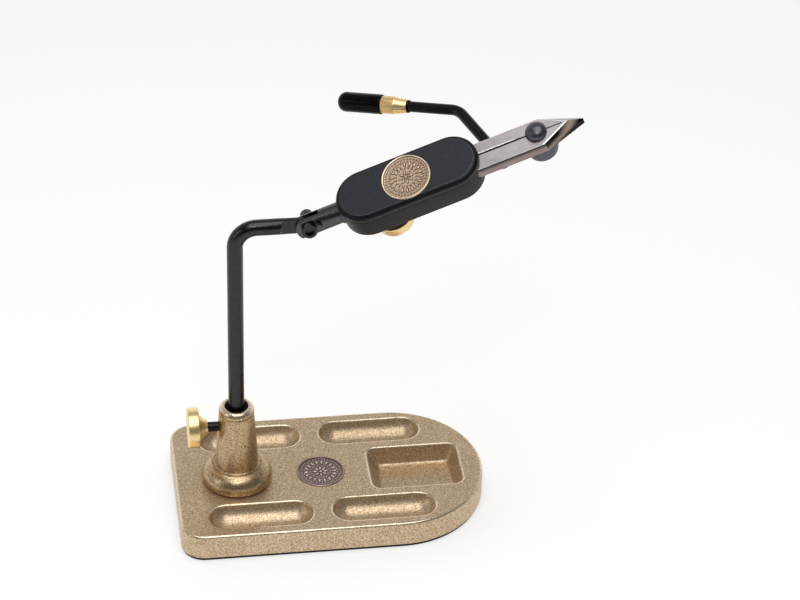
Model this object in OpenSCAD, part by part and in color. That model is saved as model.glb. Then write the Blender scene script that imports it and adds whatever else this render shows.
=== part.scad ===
// Fly tying vise on a pocketed pedestal base.
// The origin is on the table, on the axis of the upright stem. +X runs along the base to its round
// end, +Y to the back and +Z up. The head has its own frame, with its origin at the tilt pivot:
// s runs along the shaft to the jaw tips, q across the jaws and t out of the head's face.
// All sizes are in millimetres.

/* [Base] */
// Length of the base from its square end to its round end
base_l = 187.6; // [182:0.1:200]
// Width of the base, and so the diameter of its round end
base_w = 110.3; // [104:0.1:120]
// Thickness of the base casting
base_t = 16.1; // [14:0.1:20]
// Distance from the stem axis back to the square end
base_back = 37.5; // [34:0.1:44]
// Corner radius of the square end
base_corner_r = 14; // [8:0.5:16]
// Radius of the rounded top edge
base_edge_r = 1.6; // [0.6:0.1:3]
// Thickness of the non-slip pad under the base
pad_t = 1.9; // [0.6:0.1:2.5]
// How far the pad's edge lies inside the base's edge
pad_inset = 1; // [0.5:0.1:3]

/* [Material pockets] */
// Length of each round-bottomed trough
trough_l = 62; // [54:0.1:64]
// Width of each trough at the base's top
trough_w = 21.6; // [17:0.1:23]
// Depth of each trough
trough_depth = 9; // [6:0.1:10]
// Distance of the troughs' centre lines from the base's centre line
trough_y = 37.2; // [35:0.1:40]
// Centre of the two troughs beside the post
trough_rear_x = 11.1; // [8:0.1:13]
// Centre of the two troughs beside the badge
trough_front_x = 85.2; // [82:0.1:88]
// Length of the four-sided tray pocket
tray_l = 56; // [44:0.1:58]
// Width of the tray pocket
tray_w = 39; // [30:0.1:42]
// Depth of the tray pocket
tray_depth = 11.5; // [7:0.1:12]
// Centre of the tray pocket
tray_x = 108.7; // [106:0.1:112]
// Corner radius of the tray pocket at the top
tray_corner_r = 6; // [5:0.1:8]
// How far the tray pocket's long walls slope in
tray_side_draft = 3.5; // [2:0.1:4]
// How far its wall nearest the post slopes in
tray_rear_draft = 6.8; // [4:0.1:8]
// How far its wall at the round end slopes in
tray_front_draft = 4.8; // [4:0.1:8]

/* [Badges] */
// Diameter of the badge in the base
base_badge_d = 29.2; // [24:0.1:31]
// Centre of the badge in the base
base_badge_x = 51; // [48:0.1:56]
// Diameter of the badge in the head
head_badge_d = 29.3; // [22:0.1:30]
// Thickness of a badge
badge_t = 1.9; // [1.5:0.1:2.5]
// How far a badge's rim stands above its surroundings
badge_proud = 0.5; // [0.2:0.1:0.8]
// Width of a badge's rim
badge_rim_w = 1.4; // [1:0.1:2]
// Depth of a badge's field below its rim
badge_dish = 0.7; // [0.4:0.1:1]
// Height of the relief on a badge's field
badge_relief = 0.35; // [0.2:0.05:0.4]
// Rays in the relief
badge_rays = 16; // [8:2:24]

/* [Post] */
// Height of the post above the base
post_h = 54.7; // [52:0.1:60]
// Radius of the post's foot
foot_r = 21.3; // [19:0.1:23]
// Height of the foot where the cone rises from it
foot_h = 12.3; // [10:0.1:14]
// Height of the foot's widest line
foot_belly_h = 2.8; // [2:0.1:4]
// Radius of the cone where it leaves the foot
cone_foot_r = 13.3; // [12.5:0.1:14]
// Radius of the cone under the lip
cone_top_r = 10.6; // [10.2:0.05:11.5]
// Height of the rounded lip
lip_h = 3.9; // [3:0.1:5]
// Radius of the post's mouth
mouth_r = 7.15; // [6.8:0.05:7.6]
// Width of the flat land round the mouth
lip_land = 0.9; // [0.4:0.1:1.2]
// Depth of the crease under the lip and above the foot
crease = 0.3; // [0.1:0.05:0.5]
// Thickness of solid metal under the stem's hole
post_floor = 8; // [7:0.1:10]

/* [Post bolt] */
// Diameter of the bolt that holds the post
bolt_d = 6; // [5:0.1:8]
// Diameter of its head
bolt_head_d = 10; // [9:0.1:13]
// Height of its head
bolt_head_h = 6; // [4:0.1:7]
// Depth of its thread in the post
bolt_thread = 6.5; // [5:0.1:6.8]

/* [Stem] */
// Diameter of the stem rod, three eighths of an inch
stem_d = 9.525; // [9:0.025:10.5]
// Height of the arm's axis above the table
arm_z = 199.9; // [180:0.1:230]
// Radius of the stem's bend, at the rod's axis
bend_r = 12.7; // [10:0.1:16]
// Distance from the stem axis to the tilt pivot
pivot_x = 42.5; // [40:0.1:50]
// Thickness of the flatted tongue at the arm's end
tongue_t = 3.2; // [2.8:0.1:4]
// Distance from the pivot back to where the tongue's flats begin to run out
tongue_l = 12.6; // [11.5:0.1:13.5]
// Radius of the cutter that mills the tongue's shoulders
shoulder_r = 4.2; // [3.5:0.1:6]
// Gap under the stem when it is fully lowered
stem_floor_gap = 0.3; // [0.2:0.05:1]

/* [Stem bush] */
// Depth of the bush's top below the post's top
bush_depth = 2; // [1.5:0.1:3]
// Length of the bush
bush_l = 8; // [6:0.1:8.3]

/* [Thumb screws] */
// Depth of the stem's clamp screw below the post's top
clamp_drop = 14.8; // [14.2:0.1:15.5]
// Diameter of both thumb screws
screw_d = 6; // [5:0.1:6.4]
// Distance from the stem axis to the clamp knob's outer face
clamp_reach = 29.4; // [27:0.1:34]
// Diameter of the clamp knob
clamp_knob_d = 24.5; // [20:0.1:28]
// Distance from the shaft axis to the tension knob's outer face
tension_reach = 27.9; // [27:0.1:32]
// Diameter of the tension knob
tension_knob_d = 23.4; // [20:0.1:28]
// Distance from the head's rear end to the tension screw
tension_in = 26.1; // [25.5:0.1:27.7]
// Thickness of a knob's disc
knob_t = 6.9; // [5:0.1:8]
// Radius of a knob's rounded rim
knob_edge_r = 0.6; // [0.4:0.1:2]
// Height of a knob's cone hub
hub_h = 5.1; // [3:0.1:6]
// Diameter of the hub at the disc
hub_base_d = 17; // [13:0.1:18]
// Diameter of the hub at its small end
hub_tip_d = 8.6; // [8:0.1:10]
// Depth of the dimple in a knob's face
dimple = 0.8; // [0.3:0.1:1.2]
// Thickness of the clamp shoe
clamp_shoe_t = 2.4; // [1.5:0.1:3]
// Thickness of the tension shoe
tension_shoe_t = 1; // [0.8:0.1:1.4]

/* [Head shaft] */
// Tilt of the head above the horizontal
head_tilt = 22; // [-20:0.1:60]
// Turn of the head about its shaft, from face up
head_turn = 22; // [-180:0.1:180]
// Diameter of the fork end of the shaft
shaft_d = 12.7; // [12:0.1:14]
// Distance from the pivot to the fork's round end
fork_back = 7.5; // [7:0.1:8.5]
// Distance from the pivot to the bottom of the fork's slot
fork_slot = 8.2; // [7.5:0.1:9.5]
// Distance between the flats milled on the fork's sides
fork_flat = 8; // [7.4:0.1:9]
// Distance from the pivot to the end of those flats
fork_flat_l = 8.8; // [8:0.1:10]
// Diameter of the journal inside the head
journal_d = 9.5; // [9:0.1:9.7]
// Diameter of the shaft's end, behind the retaining ring
spigot_d = 6; // [5:0.1:6.2]
// Depth of the retaining ring's groove
ring_groove = 0.5; // [0.3:0.05:0.7]
// Thickness of the retaining ring
ring_t = 1; // [0.8:0.1:1.2]
// Outer diameter of the retaining ring
ring_d = 9.2; // [8.6:0.1:9.4]

/* [Tilt screw] */
// Diameter of the tilt screw
tilt_screw_d = 6; // [5:0.1:6.2]
// Diameter of its socket head
tilt_head_d = 9; // [8.4:0.1:10]
// Distance from the arm's axis to the head's outer face
tilt_head_y = 7.6; // [7.2:0.1:9]
// Distance across the flats of its socket
tilt_socket_af = 5; // [4:0.1:5.5]
// Depth of its socket
tilt_socket_depth = 2; // [1.6:0.1:2.2]
// Diameter of the dome nut on the far side
tilt_nut_d = 7.8; // [7.2:0.1:9]
// Height of the dome nut
tilt_nut_h = 8.6; // [6:0.1:10]
// Height of its rounded end
tilt_dome_h = 2.8; // [1.5:0.1:4]

/* [Head] */
// Distance from the tilt pivot to the head's rear end
head_s = 19.8; // [19:0.1:21]
// Length of the head
head_l = 86.3; // [84:0.1:90]
// Width of the head, and so the diameter of its round ends
head_w = 33.1; // [32:0.1:36]
// Thickness of the whole head
head_t = 19.5; // [18.6:0.1:20.5]
// Distance from the shaft's axis to the head's face
face_z = 8.9; // [8.7:0.1:9.2]
// Thickness of the face plate
cover_t = 5; // [4.6:0.1:5.2]
// Radius of the face plate's rounded edge
face_edge_r = 2.3; // [1:0.1:3]
// Radius of the edge round the back of the head
back_edge_r = 1; // [0.5:0.1:1.5]
// Size of the bevel on each side of the parting line
parting_bevel = 0.3; // [0.1:0.05:0.5]
// Length of the bush that the head turns on
head_bush_l = 21; // [18:0.1:23]
// Wall of that bush
head_bush_wall = 1.5; // [1:0.1:1.8]
// Diameter of that bush's flange
head_bush_flange_d = 14; // [13.4:0.1:15]
// Thickness of that flange
head_bush_flange_t = 1.5; // [1:0.1:1.6]
// Distance from the head's rear end to the wall that the retaining ring pulls on
ring_wall_in = 31.7; // [31.2:0.1:32.2]
// Thickness of that wall
ring_wall_t = 2.5; // [2:0.1:3]

/* [Cover screws] */
// Diameter of a cover screw
cover_screw_d = 2.5; // [2:0.1:3]
// Diameter of its head
cover_head_d = 4.5; // [4:0.1:5]
// Height of its head
cover_head_h = 2.5; // [2:0.1:3]
// Depth of its thread in the face plate
cover_thread = 3.2; // [2.5:0.1:3.5]
// Distance of the screws from the head's centre line
cover_screw_q = 13; // [12.8:0.1:13.2]
// Distance from the head's rear end to the rear pair of screws
cover_screw_in = 18.2; // [17:0.1:21]
// Distance from the head's front end back to the front pair of screws
cover_screw_back = 26.1; // [25:0.1:30]

/* [Jaws] */
// Depth of the jaws, square to the head's face
jaw_depth = 7.94; // [7:0.1:8.1]
// Offset of the jaws' middle plane from the head's, toward the back
jaw_drop = 0.25; // [0:0.05:0.3]
// Offset of the split from the shaft's axis
split_drop = 0.9; // [0:0.1:1]
// Width of the upper jaw
upper_jaw_w = 8.22; // [7.8:0.01:8.4]
// Width of the lower jaw
lower_jaw_w = 9.39; // [8.8:0.01:9.6]
// Distance from the head's front end back to the jaws' pivot pins
jaw_pin_in = 18.1; // [17.1:0.1:19.1]
// Distance from those pins back to the jaws' tail ends
jaw_tail = 12; // [10:0.1:14]
// Distance of the pivot pins from the split
jaw_pin_q = 5.2; // [5:0.1:5.4]
// Diameter of the pivot pins
jaw_pin_d = 3; // [2.5:0.1:3.2]
// Distance from the pivot pins to where the jaws begin to taper
jaw_shoulder = 56.1; // [54:0.1:62]
// Distance from the pivot pins to the jaws' tips
jaw_tip = 80.7; // [72:0.1:84]
// Width of one jaw at its tip
jaw_tip_w = 0.5; // [0.4:0.05:1]
// Gap between the jaws along the split
split_gap = 0.6; // [0.4:0.05:1]
// Gap between the closed tips
tip_gap = 0.1; // [0.06:0.01:0.2]
// Length of the lands that grip the hook
tip_land_l = 12; // [6:0.5:14]
// Distance from the pivot pins to the front bevel's knee
bevel_knee = 68.3; // [66:0.1:72]
// Distance of the bevel's knee from the split
bevel_knee_q = 1.75; // [1:0.05:2]
// Slope of the front bevel off the jaws' front
bevel_slope = 41.7; // [30:0.1:50]
// Turn of the front bevel away from the jaws' length
bevel_turn = 61; // [50:0.5:70]
// How much narrower a jaw is at its tail end
tail_taper = 0.5; // [0.3:0.1:0.8]

/* [Jaw springs] */
// Distance from the pivot pins back to the springs
spring_back = 6; // [5.8:0.1:6.4]
// Distance of each spring from the jaws' middle plane
spring_t = 1.9; // [1.85:0.01:1.95]
// Outer diameter of a spring
spring_d = 3.2; // [2.6:0.1:3.3]
// Diameter of the spring wire
spring_wire = 0.5; // [0.4:0.05:0.6]
// Turns of a spring
spring_turns = 6; // [4:1:8]
// Distance from the split to a tail's inner face
tail_relief = 4.6; // [4.2:0.1:4.8]
// Depth of a spring's seat in the tail
spring_seat = 1.2; // [0.8:0.1:1.5]

/* [Lever] */
// Distance from the pivot pins to the cam, and so to the lever's axis
cam_ahead = 28.7; // [27:0.1:30]
// Diameter of the cam bar
cam_d = 7.94; // [7.6:0.02:8]
// Distance between the cam's flats
cam_flat = 4; // [3.9:0.05:4.2]
// Depth of the cam's blind end in front of the jaws' middle plane
cam_front = 2.2; // [1.8:0.1:2.6]
// Diameter of the flange that keeps the cam in
cam_flange_d = 10.4; // [9.6:0.1:10.8]
// Thickness of that flange
cam_flange_t = 1.2; // [1:0.1:1.6]
// Diameter of the hub behind the jaws
cam_hub_d = 8.8; // [8.2:0.1:9.2]
// Length of that hub
cam_hub_l = 7.8; // [7.4:0.1:9]
// Diameter of the lever's rod, a quarter of an inch
rod_d = 6.35; // [5:0.05:7]
// Direction of the rod's lower leg
rod_angle = 108.4; // [104:0.1:112]
// Length from the cam's axis to the bend's corner
rod_low_l = 44.9; // [42:0.1:50]
// Angle of the bend
rod_bend = 41.5; // [35:0.1:50]
// Radius of the bend, at the rod's axis
rod_bend_r = 12; // [10:0.1:16]
// How much the rod's radius thins in the bend
rod_neck = 0.02; // [0.01:0.01:0.1]
// Length over which each leg runs into the bend
rod_lap = 0.1; // [0.05:0.05:0.2]
// Length from the bend's corner to the ferrule
rod_up_l = 31.7; // [25:0.1:40]
// Depth of the rod in the grip
rod_in_grip = 18; // [12:0.1:22]
// Diameter of the rod's end in the cam's hub
rod_spigot_d = 5; // [4:0.1:5.4]
// Depth of that end past the hub's surface
rod_spigot_l = 3; // [2:0.1:3.6]

/* [Ferrule and grip] */
// Length of the ferrule's smooth cone
ferrule_cone_l = 8.4; // [6:0.1:12]
// Length of the ferrule's textured barrel
ferrule_barrel_l = 7.4; // [6:0.1:12]
// Diameter of the ferrule's small end
ferrule_tip_d = 7.9; // [7.4:0.1:9]
// Diameter of the ferrule's barrel
ferrule_d = 10.4; // [9.5:0.1:11]
// Length of the grip
grip_l = 27.6; // [24:0.1:45]
// Diameter of the grip
grip_d = 11.8; // [11.2:0.1:14]
// Radius of the grip's round end
grip_end_r = 5; // [3:0.1:5.6]
// Radius of the grip's edge at the ferrule
grip_edge_r = 0.6; // [0.3:0.1:1]

/* [Guide bolt] */
// Distance from the pivot pins to the guide bolt
guide_ahead = 53.1; // [48:0.1:54]
// Diameter of the guide bolt
guide_d = 4; // [3:0.1:5]
// Diameter of its domed head
dome_d = 12.6; // [10:0.1:14]
// Height of its domed head
dome_h = 5; // [3:0.1:6]
// Height of the straight edge of that head
dome_skirt = 0.6; // [0.3:0.1:1]
// Diameter of the cap nut behind the jaws
cap_nut_d = 18.6; // [12:0.1:20]
// Height of the cap nut
cap_nut_h = 11.8; // [9:0.1:13]
// Radius of the cap nut's rounded back
cap_nut_edge_r = 4; // [2:0.1:5]

/* [Clearances] */
// Radial clearance of a turning or sliding fit
run_clear = 0.05; // [0.02:0.01:0.08]
// Gap between faces that move past each other
face_clear = 0.1; // [0.06:0.01:0.3]
// Axial gap at shoulders, rings and shoes
end_clear = 0.3; // [0.2:0.05:0.4]
// Clearance of the cam in the jaws' notch
cam_clear = 0.08; // [0.05:0.01:0.1]
// Clearance round hidden pieces
loose_clear = 0.3; // [0.25:0.05:0.4]
// Room in the head on each side of the jaws
jaw_room = 0.9; // [0.85:0.01:1]
// Clearance in front of and behind the jaws inside the head
jaw_side_clear = 0.16; // [0.1:0.01:0.2]

/* [Hidden] */
$fn = 96;

// How far every cut runs past the surface it opens
over = 1;
// Length of a cutting block that has to clear a whole jaw
big = 40;
// Steps of an arc in a turned outline
arc_steps = 10;
// Thickness of the discs that span the tray pocket's floor
tray_disc_t = 0.1;
// Sides and rings of the spring wire
wire_sides = 6;
rings_per_turn = 8;

// Heights above the table
base_top = pad_t + base_t;
post_top = base_top + post_h;
stem_bottom = base_top + post_floor + stem_floor_gap;
bush_top = post_top - bush_depth;
bush_bottom = bush_top - bush_l;
clamp_z = post_top - clamp_drop;

// Radii of the shafts and of the holes that they run in
stem_r = stem_d / 2;
screw_r = screw_d / 2;
screw_hole_r = screw_r + run_clear;
journal_r = journal_d / 2;
spigot_r = spigot_d / 2;
shaft_r = shaft_d / 2;
tilt_r = tilt_screw_d / 2;
pin_r = jaw_pin_d / 2;
rod_r = rod_d / 2;
cam_r = cam_d / 2;
hub_r = cam_hub_d / 2;
guide_r = guide_d / 2;

// The base
round_x = base_l - base_back - base_w / 2;
corner_x = base_corner_r - base_back;
corner_y = base_w / 2 - base_corner_r;
trough_r = (pow(trough_w / 2, 2) + pow(trough_depth, 2)) / (2 * trough_depth);
trough_half = trough_l / 2 - trough_w / 2;

// The thumb screws, measured outward from the axis that they press on
clamp_shoe_from = stem_r + face_clear;
clamp_screw_from = clamp_shoe_from + clamp_shoe_t + face_clear;
tension_shoe_from = journal_r + face_clear;
tension_screw_from = tension_shoe_from + tension_shoe_t + face_clear;

// Places along the head, measured from the tilt pivot
head_front_s = head_s + head_l;
head_badge_s = head_s + head_l / 2;
ring_wall_s = head_s + ring_wall_in;
tension_s = head_s + tension_in;
cover_screw_rear_s = head_s + cover_screw_in;
cover_screw_front_s = head_front_s - cover_screw_back;
jaw_pin_s = head_front_s - jaw_pin_in;
jaw_tail_s = jaw_pin_s - jaw_tail;
spring_s = jaw_pin_s - spring_back;
cam_s = jaw_pin_s + cam_ahead;
guide_s = jaw_pin_s + guide_ahead;
jaw_shoulder_s = jaw_pin_s + jaw_shoulder;
bevel_knee_s = jaw_pin_s + bevel_knee;
jaw_tip_s = jaw_pin_s + jaw_tip;

// The head, from its back at -back_z to its face at +face_z
back_z = head_t - face_z;
parting_t = face_z - cover_t;
head_r = head_w / 2;
shaft_shoulder_s = head_s - end_clear;
cavity_s = ring_wall_s + ring_wall_t;
ring_s = cavity_s + end_clear;
shaft_end_s = ring_s + 3 * ring_t;
ring_pocket_r = ring_d / 2 + loose_clear;
head_bush_r = journal_r + run_clear + head_bush_wall;
journal_hole_r = journal_r + 4 * run_clear;

// The jaws, measured from the split
jaw_back = -jaw_depth / 2 - jaw_drop;
jaw_front = jaw_back + jaw_depth;
cavity_back = jaw_back - jaw_side_clear;
cavity_low = -split_drop - lower_jaw_w - jaw_room;
cavity_high = -split_drop + upper_jaw_w + jaw_room;
pin_depth = 3;
spring_gap = end_clear + run_clear;
spring_half = tail_relief + spring_seat - spring_gap;
tail_end_s = spring_s + spring_d / 2 + loose_clear + run_clear;

// The cam and the lever
cam_top = jaw_front - jaw_depth / 2 + cam_front;
hub_front = jaw_back - end_clear - 2 * face_clear;
rod_t = hub_front - cam_hub_l / 2;
bend_leg = rod_bend_r * tan(rod_bend / 2);
ferrule_l = ferrule_cone_l + ferrule_barrel_l;

// A quarter arc for a turned outline, from straight out to straight up
function arc(cx, cy, rx, ry, from = 0, to = 90) =
  [for (i = [0:arc_steps]) let (a = from + (to - from) * i / arc_steps)
    [cx + rx * cos(a), cy + ry * sin(a)]];

// The outline of a plate's rim: radius, thickness and the roundings of its two edges
function rim(r, h, low_r, high_r) = concat([[0, 0]],
  arc(r - low_r, low_r, low_r, low_r, -90, 0),
  arc(r - high_r, h - high_r, high_r, high_r), [[0, h]]);

function mirrored(points) = [for (i = [len(points) - 1:-1:0]) [-points[i][0], points[i][1]]];

// A bar of a rim outline, l long, running along +X with its outline on both sides
module rim_bar(l, r, h, low_r, high_r)
  rotate([90, 0, 90]) linear_extrude(l)
    polygon(concat(rim(r, h, low_r, high_r), mirrored(rim(r, h, low_r, high_r))));

// A plate with round ends, from x = 0 to x = l
module round_ended_plate(l, r, h, low_r, high_r) {
  for (x = [r, l - r])
    translate([x, 0, 0]) rotate_extrude() polygon(rim(r, h, low_r, high_r));
  translate([r, 0, 0]) rim_bar(l - 2 * r, r, h, low_r, high_r);
}

// The base's own outline as a plate, drawn in from the edge by inset
module base_plate(h, edge_r, inset) {
  end_r = base_w / 2 - inset;
  corner_r = base_corner_r - inset;
  translate([round_x, 0, 0]) rotate_extrude($fn = 180) polygon(rim(end_r, h, 0, edge_r));
  for (side = [-1, 1]) translate([corner_x, side * corner_y, 0])
    rotate_extrude() polygon(rim(corner_r, h, 0, edge_r));
  translate([corner_x, 0, 0]) rim_bar(round_x - corner_x, end_r, h, 0, edge_r);
  translate([corner_x, -corner_y, 0]) rotate([0, 0, 90]) rim_bar(2 * corner_y, corner_r, h, 0, edge_r);
}

// Places a piece given in the shaft's frame, which tilts on the arm
module on_shaft() translate([pivot_x, 0, arm_z]) rotate([0, -head_tilt, 0]) children();

// Places a piece given in the head's frame (s, q, t)
module on_head() on_shaft() rotate([head_turn, 0, 0]) children();

// Places a piece given in the jaws' frame, whose middle line is the split
module on_split() on_head() translate([0, -split_drop, 0]) children();

// A round-bottomed trough, as a cutter
module trough_cut() translate([0, 0, trough_r - trough_depth]) {
  for (x = [-trough_half, trough_half]) translate([x, 0, 0]) sphere(trough_r);
  translate([-trough_half, 0, 0]) rotate([0, 90, 0]) cylinder(r = trough_r, h = 2 * trough_half);
}

// The tray pocket, as a cutter with sloping walls
module tray_cut() {
  low_r = tray_corner_r - tray_side_draft;
  rear_x = tray_l / 2 - low_r - tray_rear_draft;
  front_x = tray_l / 2 - low_r - tray_front_draft;
  hull() for (y = [-1, 1]) {
    for (x = [-rear_x, front_x]) translate([x, y * (tray_w / 2 - tray_corner_r), -tray_depth])
      cylinder(r = low_r, h = tray_disc_t, $fn = 32);
    for (x = [-1, 1]) translate([x * (tray_l / 2 - tray_corner_r), y * (tray_w / 2 - tray_corner_r), 0])
      cylinder(r = tray_corner_r, h = over, $fn = 32);
  }
}

module base() color("darkgoldenrod") difference() {
  translate([0, 0, pad_t]) base_plate(base_t, base_edge_r, 0);
  for (x = [trough_rear_x, trough_front_x], y = [-trough_y, trough_y])
    translate([x, y, base_top]) trough_cut();
  translate([tray_x, 0, base_top]) tray_cut();
  translate([base_badge_x, 0, base_top + badge_proud - badge_t])
    cylinder(d = base_badge_d, h = badge_t + over);
  translate([0, 0, pad_t - over]) {
    cylinder(d = bolt_d, h = base_t + 2 * over);
    cylinder(d = bolt_head_d + 2 * loose_clear, h = bolt_head_h + loose_clear + over);
  }
}

module base_pad() color("dimgray") base_plate(pad_t, 0, pad_inset);

// A round badge with a raised rim, a ring, a boss and rays in low relief
module badge(d) {
  field = badge_t - badge_dish;
  field_r = d / 2 - badge_rim_w;
  ring_r = field_r * badge_ring_share;
  boss_r = field_r * badge_boss_share;
  ray_w = ring_r * badge_ray_share;
  cylinder(r = field_r, h = field);
  rotate_extrude() polygon(concat([[field_r, 0], [d / 2, 0]],
    arc(d / 2 - badge_rim_w / 2, badge_t - badge_rim_w / 2, badge_rim_w / 2, badge_rim_w / 2, 0, 180)));
  translate([0, 0, field]) {
    cylinder(r1 = boss_r, r2 = boss_r - badge_relief, h = badge_relief);
    difference() {
      cylinder(r = ring_r, h = badge_relief);
      translate([0, 0, -over]) cylinder(r = ring_r - badge_rim_w / 2, h = badge_relief + 2 * over);
    }
    for (i = [0:badge_rays - 1]) rotate([0, 0, 360 * i / badge_rays])
      translate([boss_r + badge_rim_w / 2, -ray_w / 2, 0])
        cube([ring_r - boss_r - 1.5 * badge_rim_w, ray_w, badge_relief]);
  }
}
// Shares of a badge's field: the ring, the boss and the width of a ray
badge_ring_share = 0.86;
badge_boss_share = 0.2;
badge_ray_share = 0.09;

module base_badge() color("saddlebrown")
  translate([base_badge_x, 0, base_top + badge_proud - badge_t]) badge(base_badge_d);

// The post's turned outline, from the base's top up
function post_outline() =
  let (curve_r = (pow(foot_h - foot_belly_h, 2) + pow(foot_r - cone_foot_r, 2))
      / (2 * (foot_r - cone_foot_r)),
    sweep = asin((foot_h - foot_belly_h) / curve_r),
    under = foot_belly_h)
  concat([[0, 0]],
    arc(foot_r - under / 2, foot_belly_h, under / 2, foot_belly_h, -90, 0),
    arc(foot_r - curve_r, foot_belly_h, curve_r, curve_r, 0, sweep),
    [[cone_foot_r - crease, foot_h], [cone_foot_r - crease, foot_h + crease],
      [cone_top_r, post_h - lip_h - crease], [cone_top_r - crease, post_h - lip_h]],
    arc(mouth_r + lip_land, post_h - lip_h, cone_top_r + crease / 2 - mouth_r - lip_land, lip_h),
    [[0, post_h]]);

module post() color("goldenrod") difference() {
  translate([0, 0, base_top]) rotate_extrude() polygon(post_outline());
  translate([0, 0, base_top + post_floor]) cylinder(r = stem_r + run_clear, h = post_h);
  translate([0, 0, bush_bottom]) cylinder(r = mouth_r, h = post_h);
  translate([0, 0, base_top - over]) cylinder(d = bolt_d, h = bolt_thread + end_clear + over);
  translate([0, 0, clamp_z]) rotate([0, -90, 0]) cylinder(r = screw_hole_r, h = foot_r);
}

module post_bolt() color("gray") translate([0, 0, pad_t]) difference() {
  union() {
    cylinder(d = bolt_head_d, h = bolt_head_h);
    cylinder(d = bolt_d, h = base_t + bolt_thread);
  }
  translate([0, 0, -over]) cylinder(d = bolt_d, h = bolt_head_h / 2 + over, $fn = 6);
}

module stem_bush() color("black") translate([0, 0, bush_bottom]) difference() {
  cylinder(r = mouth_r - run_clear, h = bush_l);
  translate([0, 0, -over]) cylinder(r = stem_r + run_clear, h = bush_l + 2 * over);
}

// A shoe, a screw and a knob point along +Z, away from the axis that they press on
module shoe(from, t) translate([0, 0, from]) cylinder(r = screw_r, h = t);

module thumb_screw(from, reach) translate([0, 0, from]) cylinder(r = screw_r, h = reach - knob_t / 2 - from);

module thumb_knob(reach, d) {
  translate([0, 0, reach - knob_t]) rotate_extrude() polygon(concat(
    [[screw_r, 0]], arc(d / 2 - knob_edge_r, knob_edge_r, knob_edge_r, knob_edge_r, -90, 0),
    arc(d / 2 - knob_edge_r, knob_t - knob_edge_r, knob_edge_r, knob_edge_r),
    [[hub_tip_d / 2, knob_t], [hub_tip_d / 2 - dimple, knob_t - dimple], [0, knob_t - dimple],
      [0, knob_t / 2], [screw_r, knob_t / 2]]));
  translate([0, 0, reach - knob_t - hub_h]) difference() {
    cylinder(d1 = hub_tip_d, d2 = hub_base_d, h = hub_h);
    translate([0, 0, -over]) cylinder(r = screw_r, h = hub_h + 2 * over);
  }
}

// Places a piece on the clamp screw's axis, which runs out of the post to the left
module on_clamp() translate([0, 0, clamp_z]) rotate([0, -90, 0]) children();

module clamp_shoe() color("gold") on_clamp() shoe(clamp_shoe_from, clamp_shoe_t);
module clamp_screw() color("dimgray") on_clamp() thumb_screw(clamp_screw_from, clamp_reach);
module clamp_knob() color("gold") on_clamp() thumb_knob(clamp_reach, clamp_knob_d);

// The milled side of the arm's tongue, as a cutter on the +Y side
module tongue_cut() translate([pivot_x - tongue_l, tongue_t / 2 + shoulder_r, 0]) {
  cylinder(r = shoulder_r, h = 2 * stem_d, center = true);
  translate([0, -shoulder_r, -stem_d]) cube([big, 2 * shoulder_r, 2 * stem_d]);
}

module stem() color("dimgray") {
  translate([0, 0, stem_bottom]) cylinder(r = stem_r, h = arm_z - bend_r - stem_bottom);
  translate([bend_r, 0, arm_z - bend_r]) rotate([90, 0, 0]) rotate([0, 0, 90])
    rotate_extrude(angle = 90) translate([bend_r, 0]) circle(stem_r);
  translate([0, 0, arm_z]) difference() {
    union() {
      translate([bend_r, 0, 0]) rotate([0, 90, 0]) cylinder(r = stem_r, h = pivot_x - bend_r);
      translate([pivot_x, 0, 0]) rotate([90, 0, 0]) cylinder(r = stem_r, h = stem_d, center = true);
    }
    tongue_cut();
    mirror([0, 1, 0]) tongue_cut();
    translate([pivot_x, 0, 0]) rotate([90, 0, 0])
      cylinder(r = tilt_r + run_clear, h = 2 * stem_d, center = true);
  }
}

// The fork's slot and flats, as cutters, in the shaft's frame
module fork_cut() {
  slot = tongue_t + 2 * face_clear;
  translate([-big, -slot / 2, -shaft_d]) cube([big + fork_slot, slot, 2 * shaft_d]);
  for (side = [-1, 1]) translate([fork_flat_l - shoulder_r, side * (fork_flat / 2 + shoulder_r), 0]) {
    cylinder(r = shoulder_r, h = 2 * shaft_d, center = true);
    translate([-big, -shoulder_r, -shaft_d]) cube([big, 2 * shoulder_r, 2 * shaft_d]);
  }
}

module head_shaft() color("dimgray") on_shaft() difference() {
  union() {
    intersection() {
      translate([-fork_back, 0, 0]) rotate([0, 90, 0])
        cylinder(r = shaft_r, h = fork_back + shaft_shoulder_s);
      union() {
        rotate([90, 0, 0]) cylinder(r = fork_back, h = 2 * shaft_d, center = true);
        translate([0, -shaft_d, -shaft_d]) cube([shaft_shoulder_s, 2 * shaft_d, 2 * shaft_d]);
      }
    }
    translate([shaft_shoulder_s, 0, 0]) rotate([0, 90, 0]) {
      cylinder(r = journal_r, h = ring_wall_s - end_clear - shaft_shoulder_s);
      cylinder(r = spigot_r, h = shaft_end_s - shaft_shoulder_s);
    }
  }
  fork_cut();
  rotate([90, 0, 0]) cylinder(r = tilt_r, h = 2 * shaft_d, center = true);
  translate([ring_s, 0, 0]) rotate([0, 90, 0]) difference() {
    cylinder(r = spigot_r + over, h = ring_t);
    translate([0, 0, -over]) cylinder(r = spigot_r - ring_groove, h = ring_t + 2 * over);
  }
}

module tilt_screw() color("dimgray") on_shaft() rotate([90, 0, 0]) difference() {
  union() {
    translate([0, 0, -fork_flat / 2 - tilt_nut_h / 2]) cylinder(r = tilt_r, h = fork_flat + tilt_nut_h / 2);
    translate([0, 0, fork_flat / 2]) cylinder(d = tilt_head_d, h = tilt_head_y - fork_flat / 2);
  }
  translate([0, 0, tilt_head_y - tilt_socket_depth])
    cylinder(d = tilt_socket_af / cos(30), h = tilt_socket_depth + over, $fn = 6);
}

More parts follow.
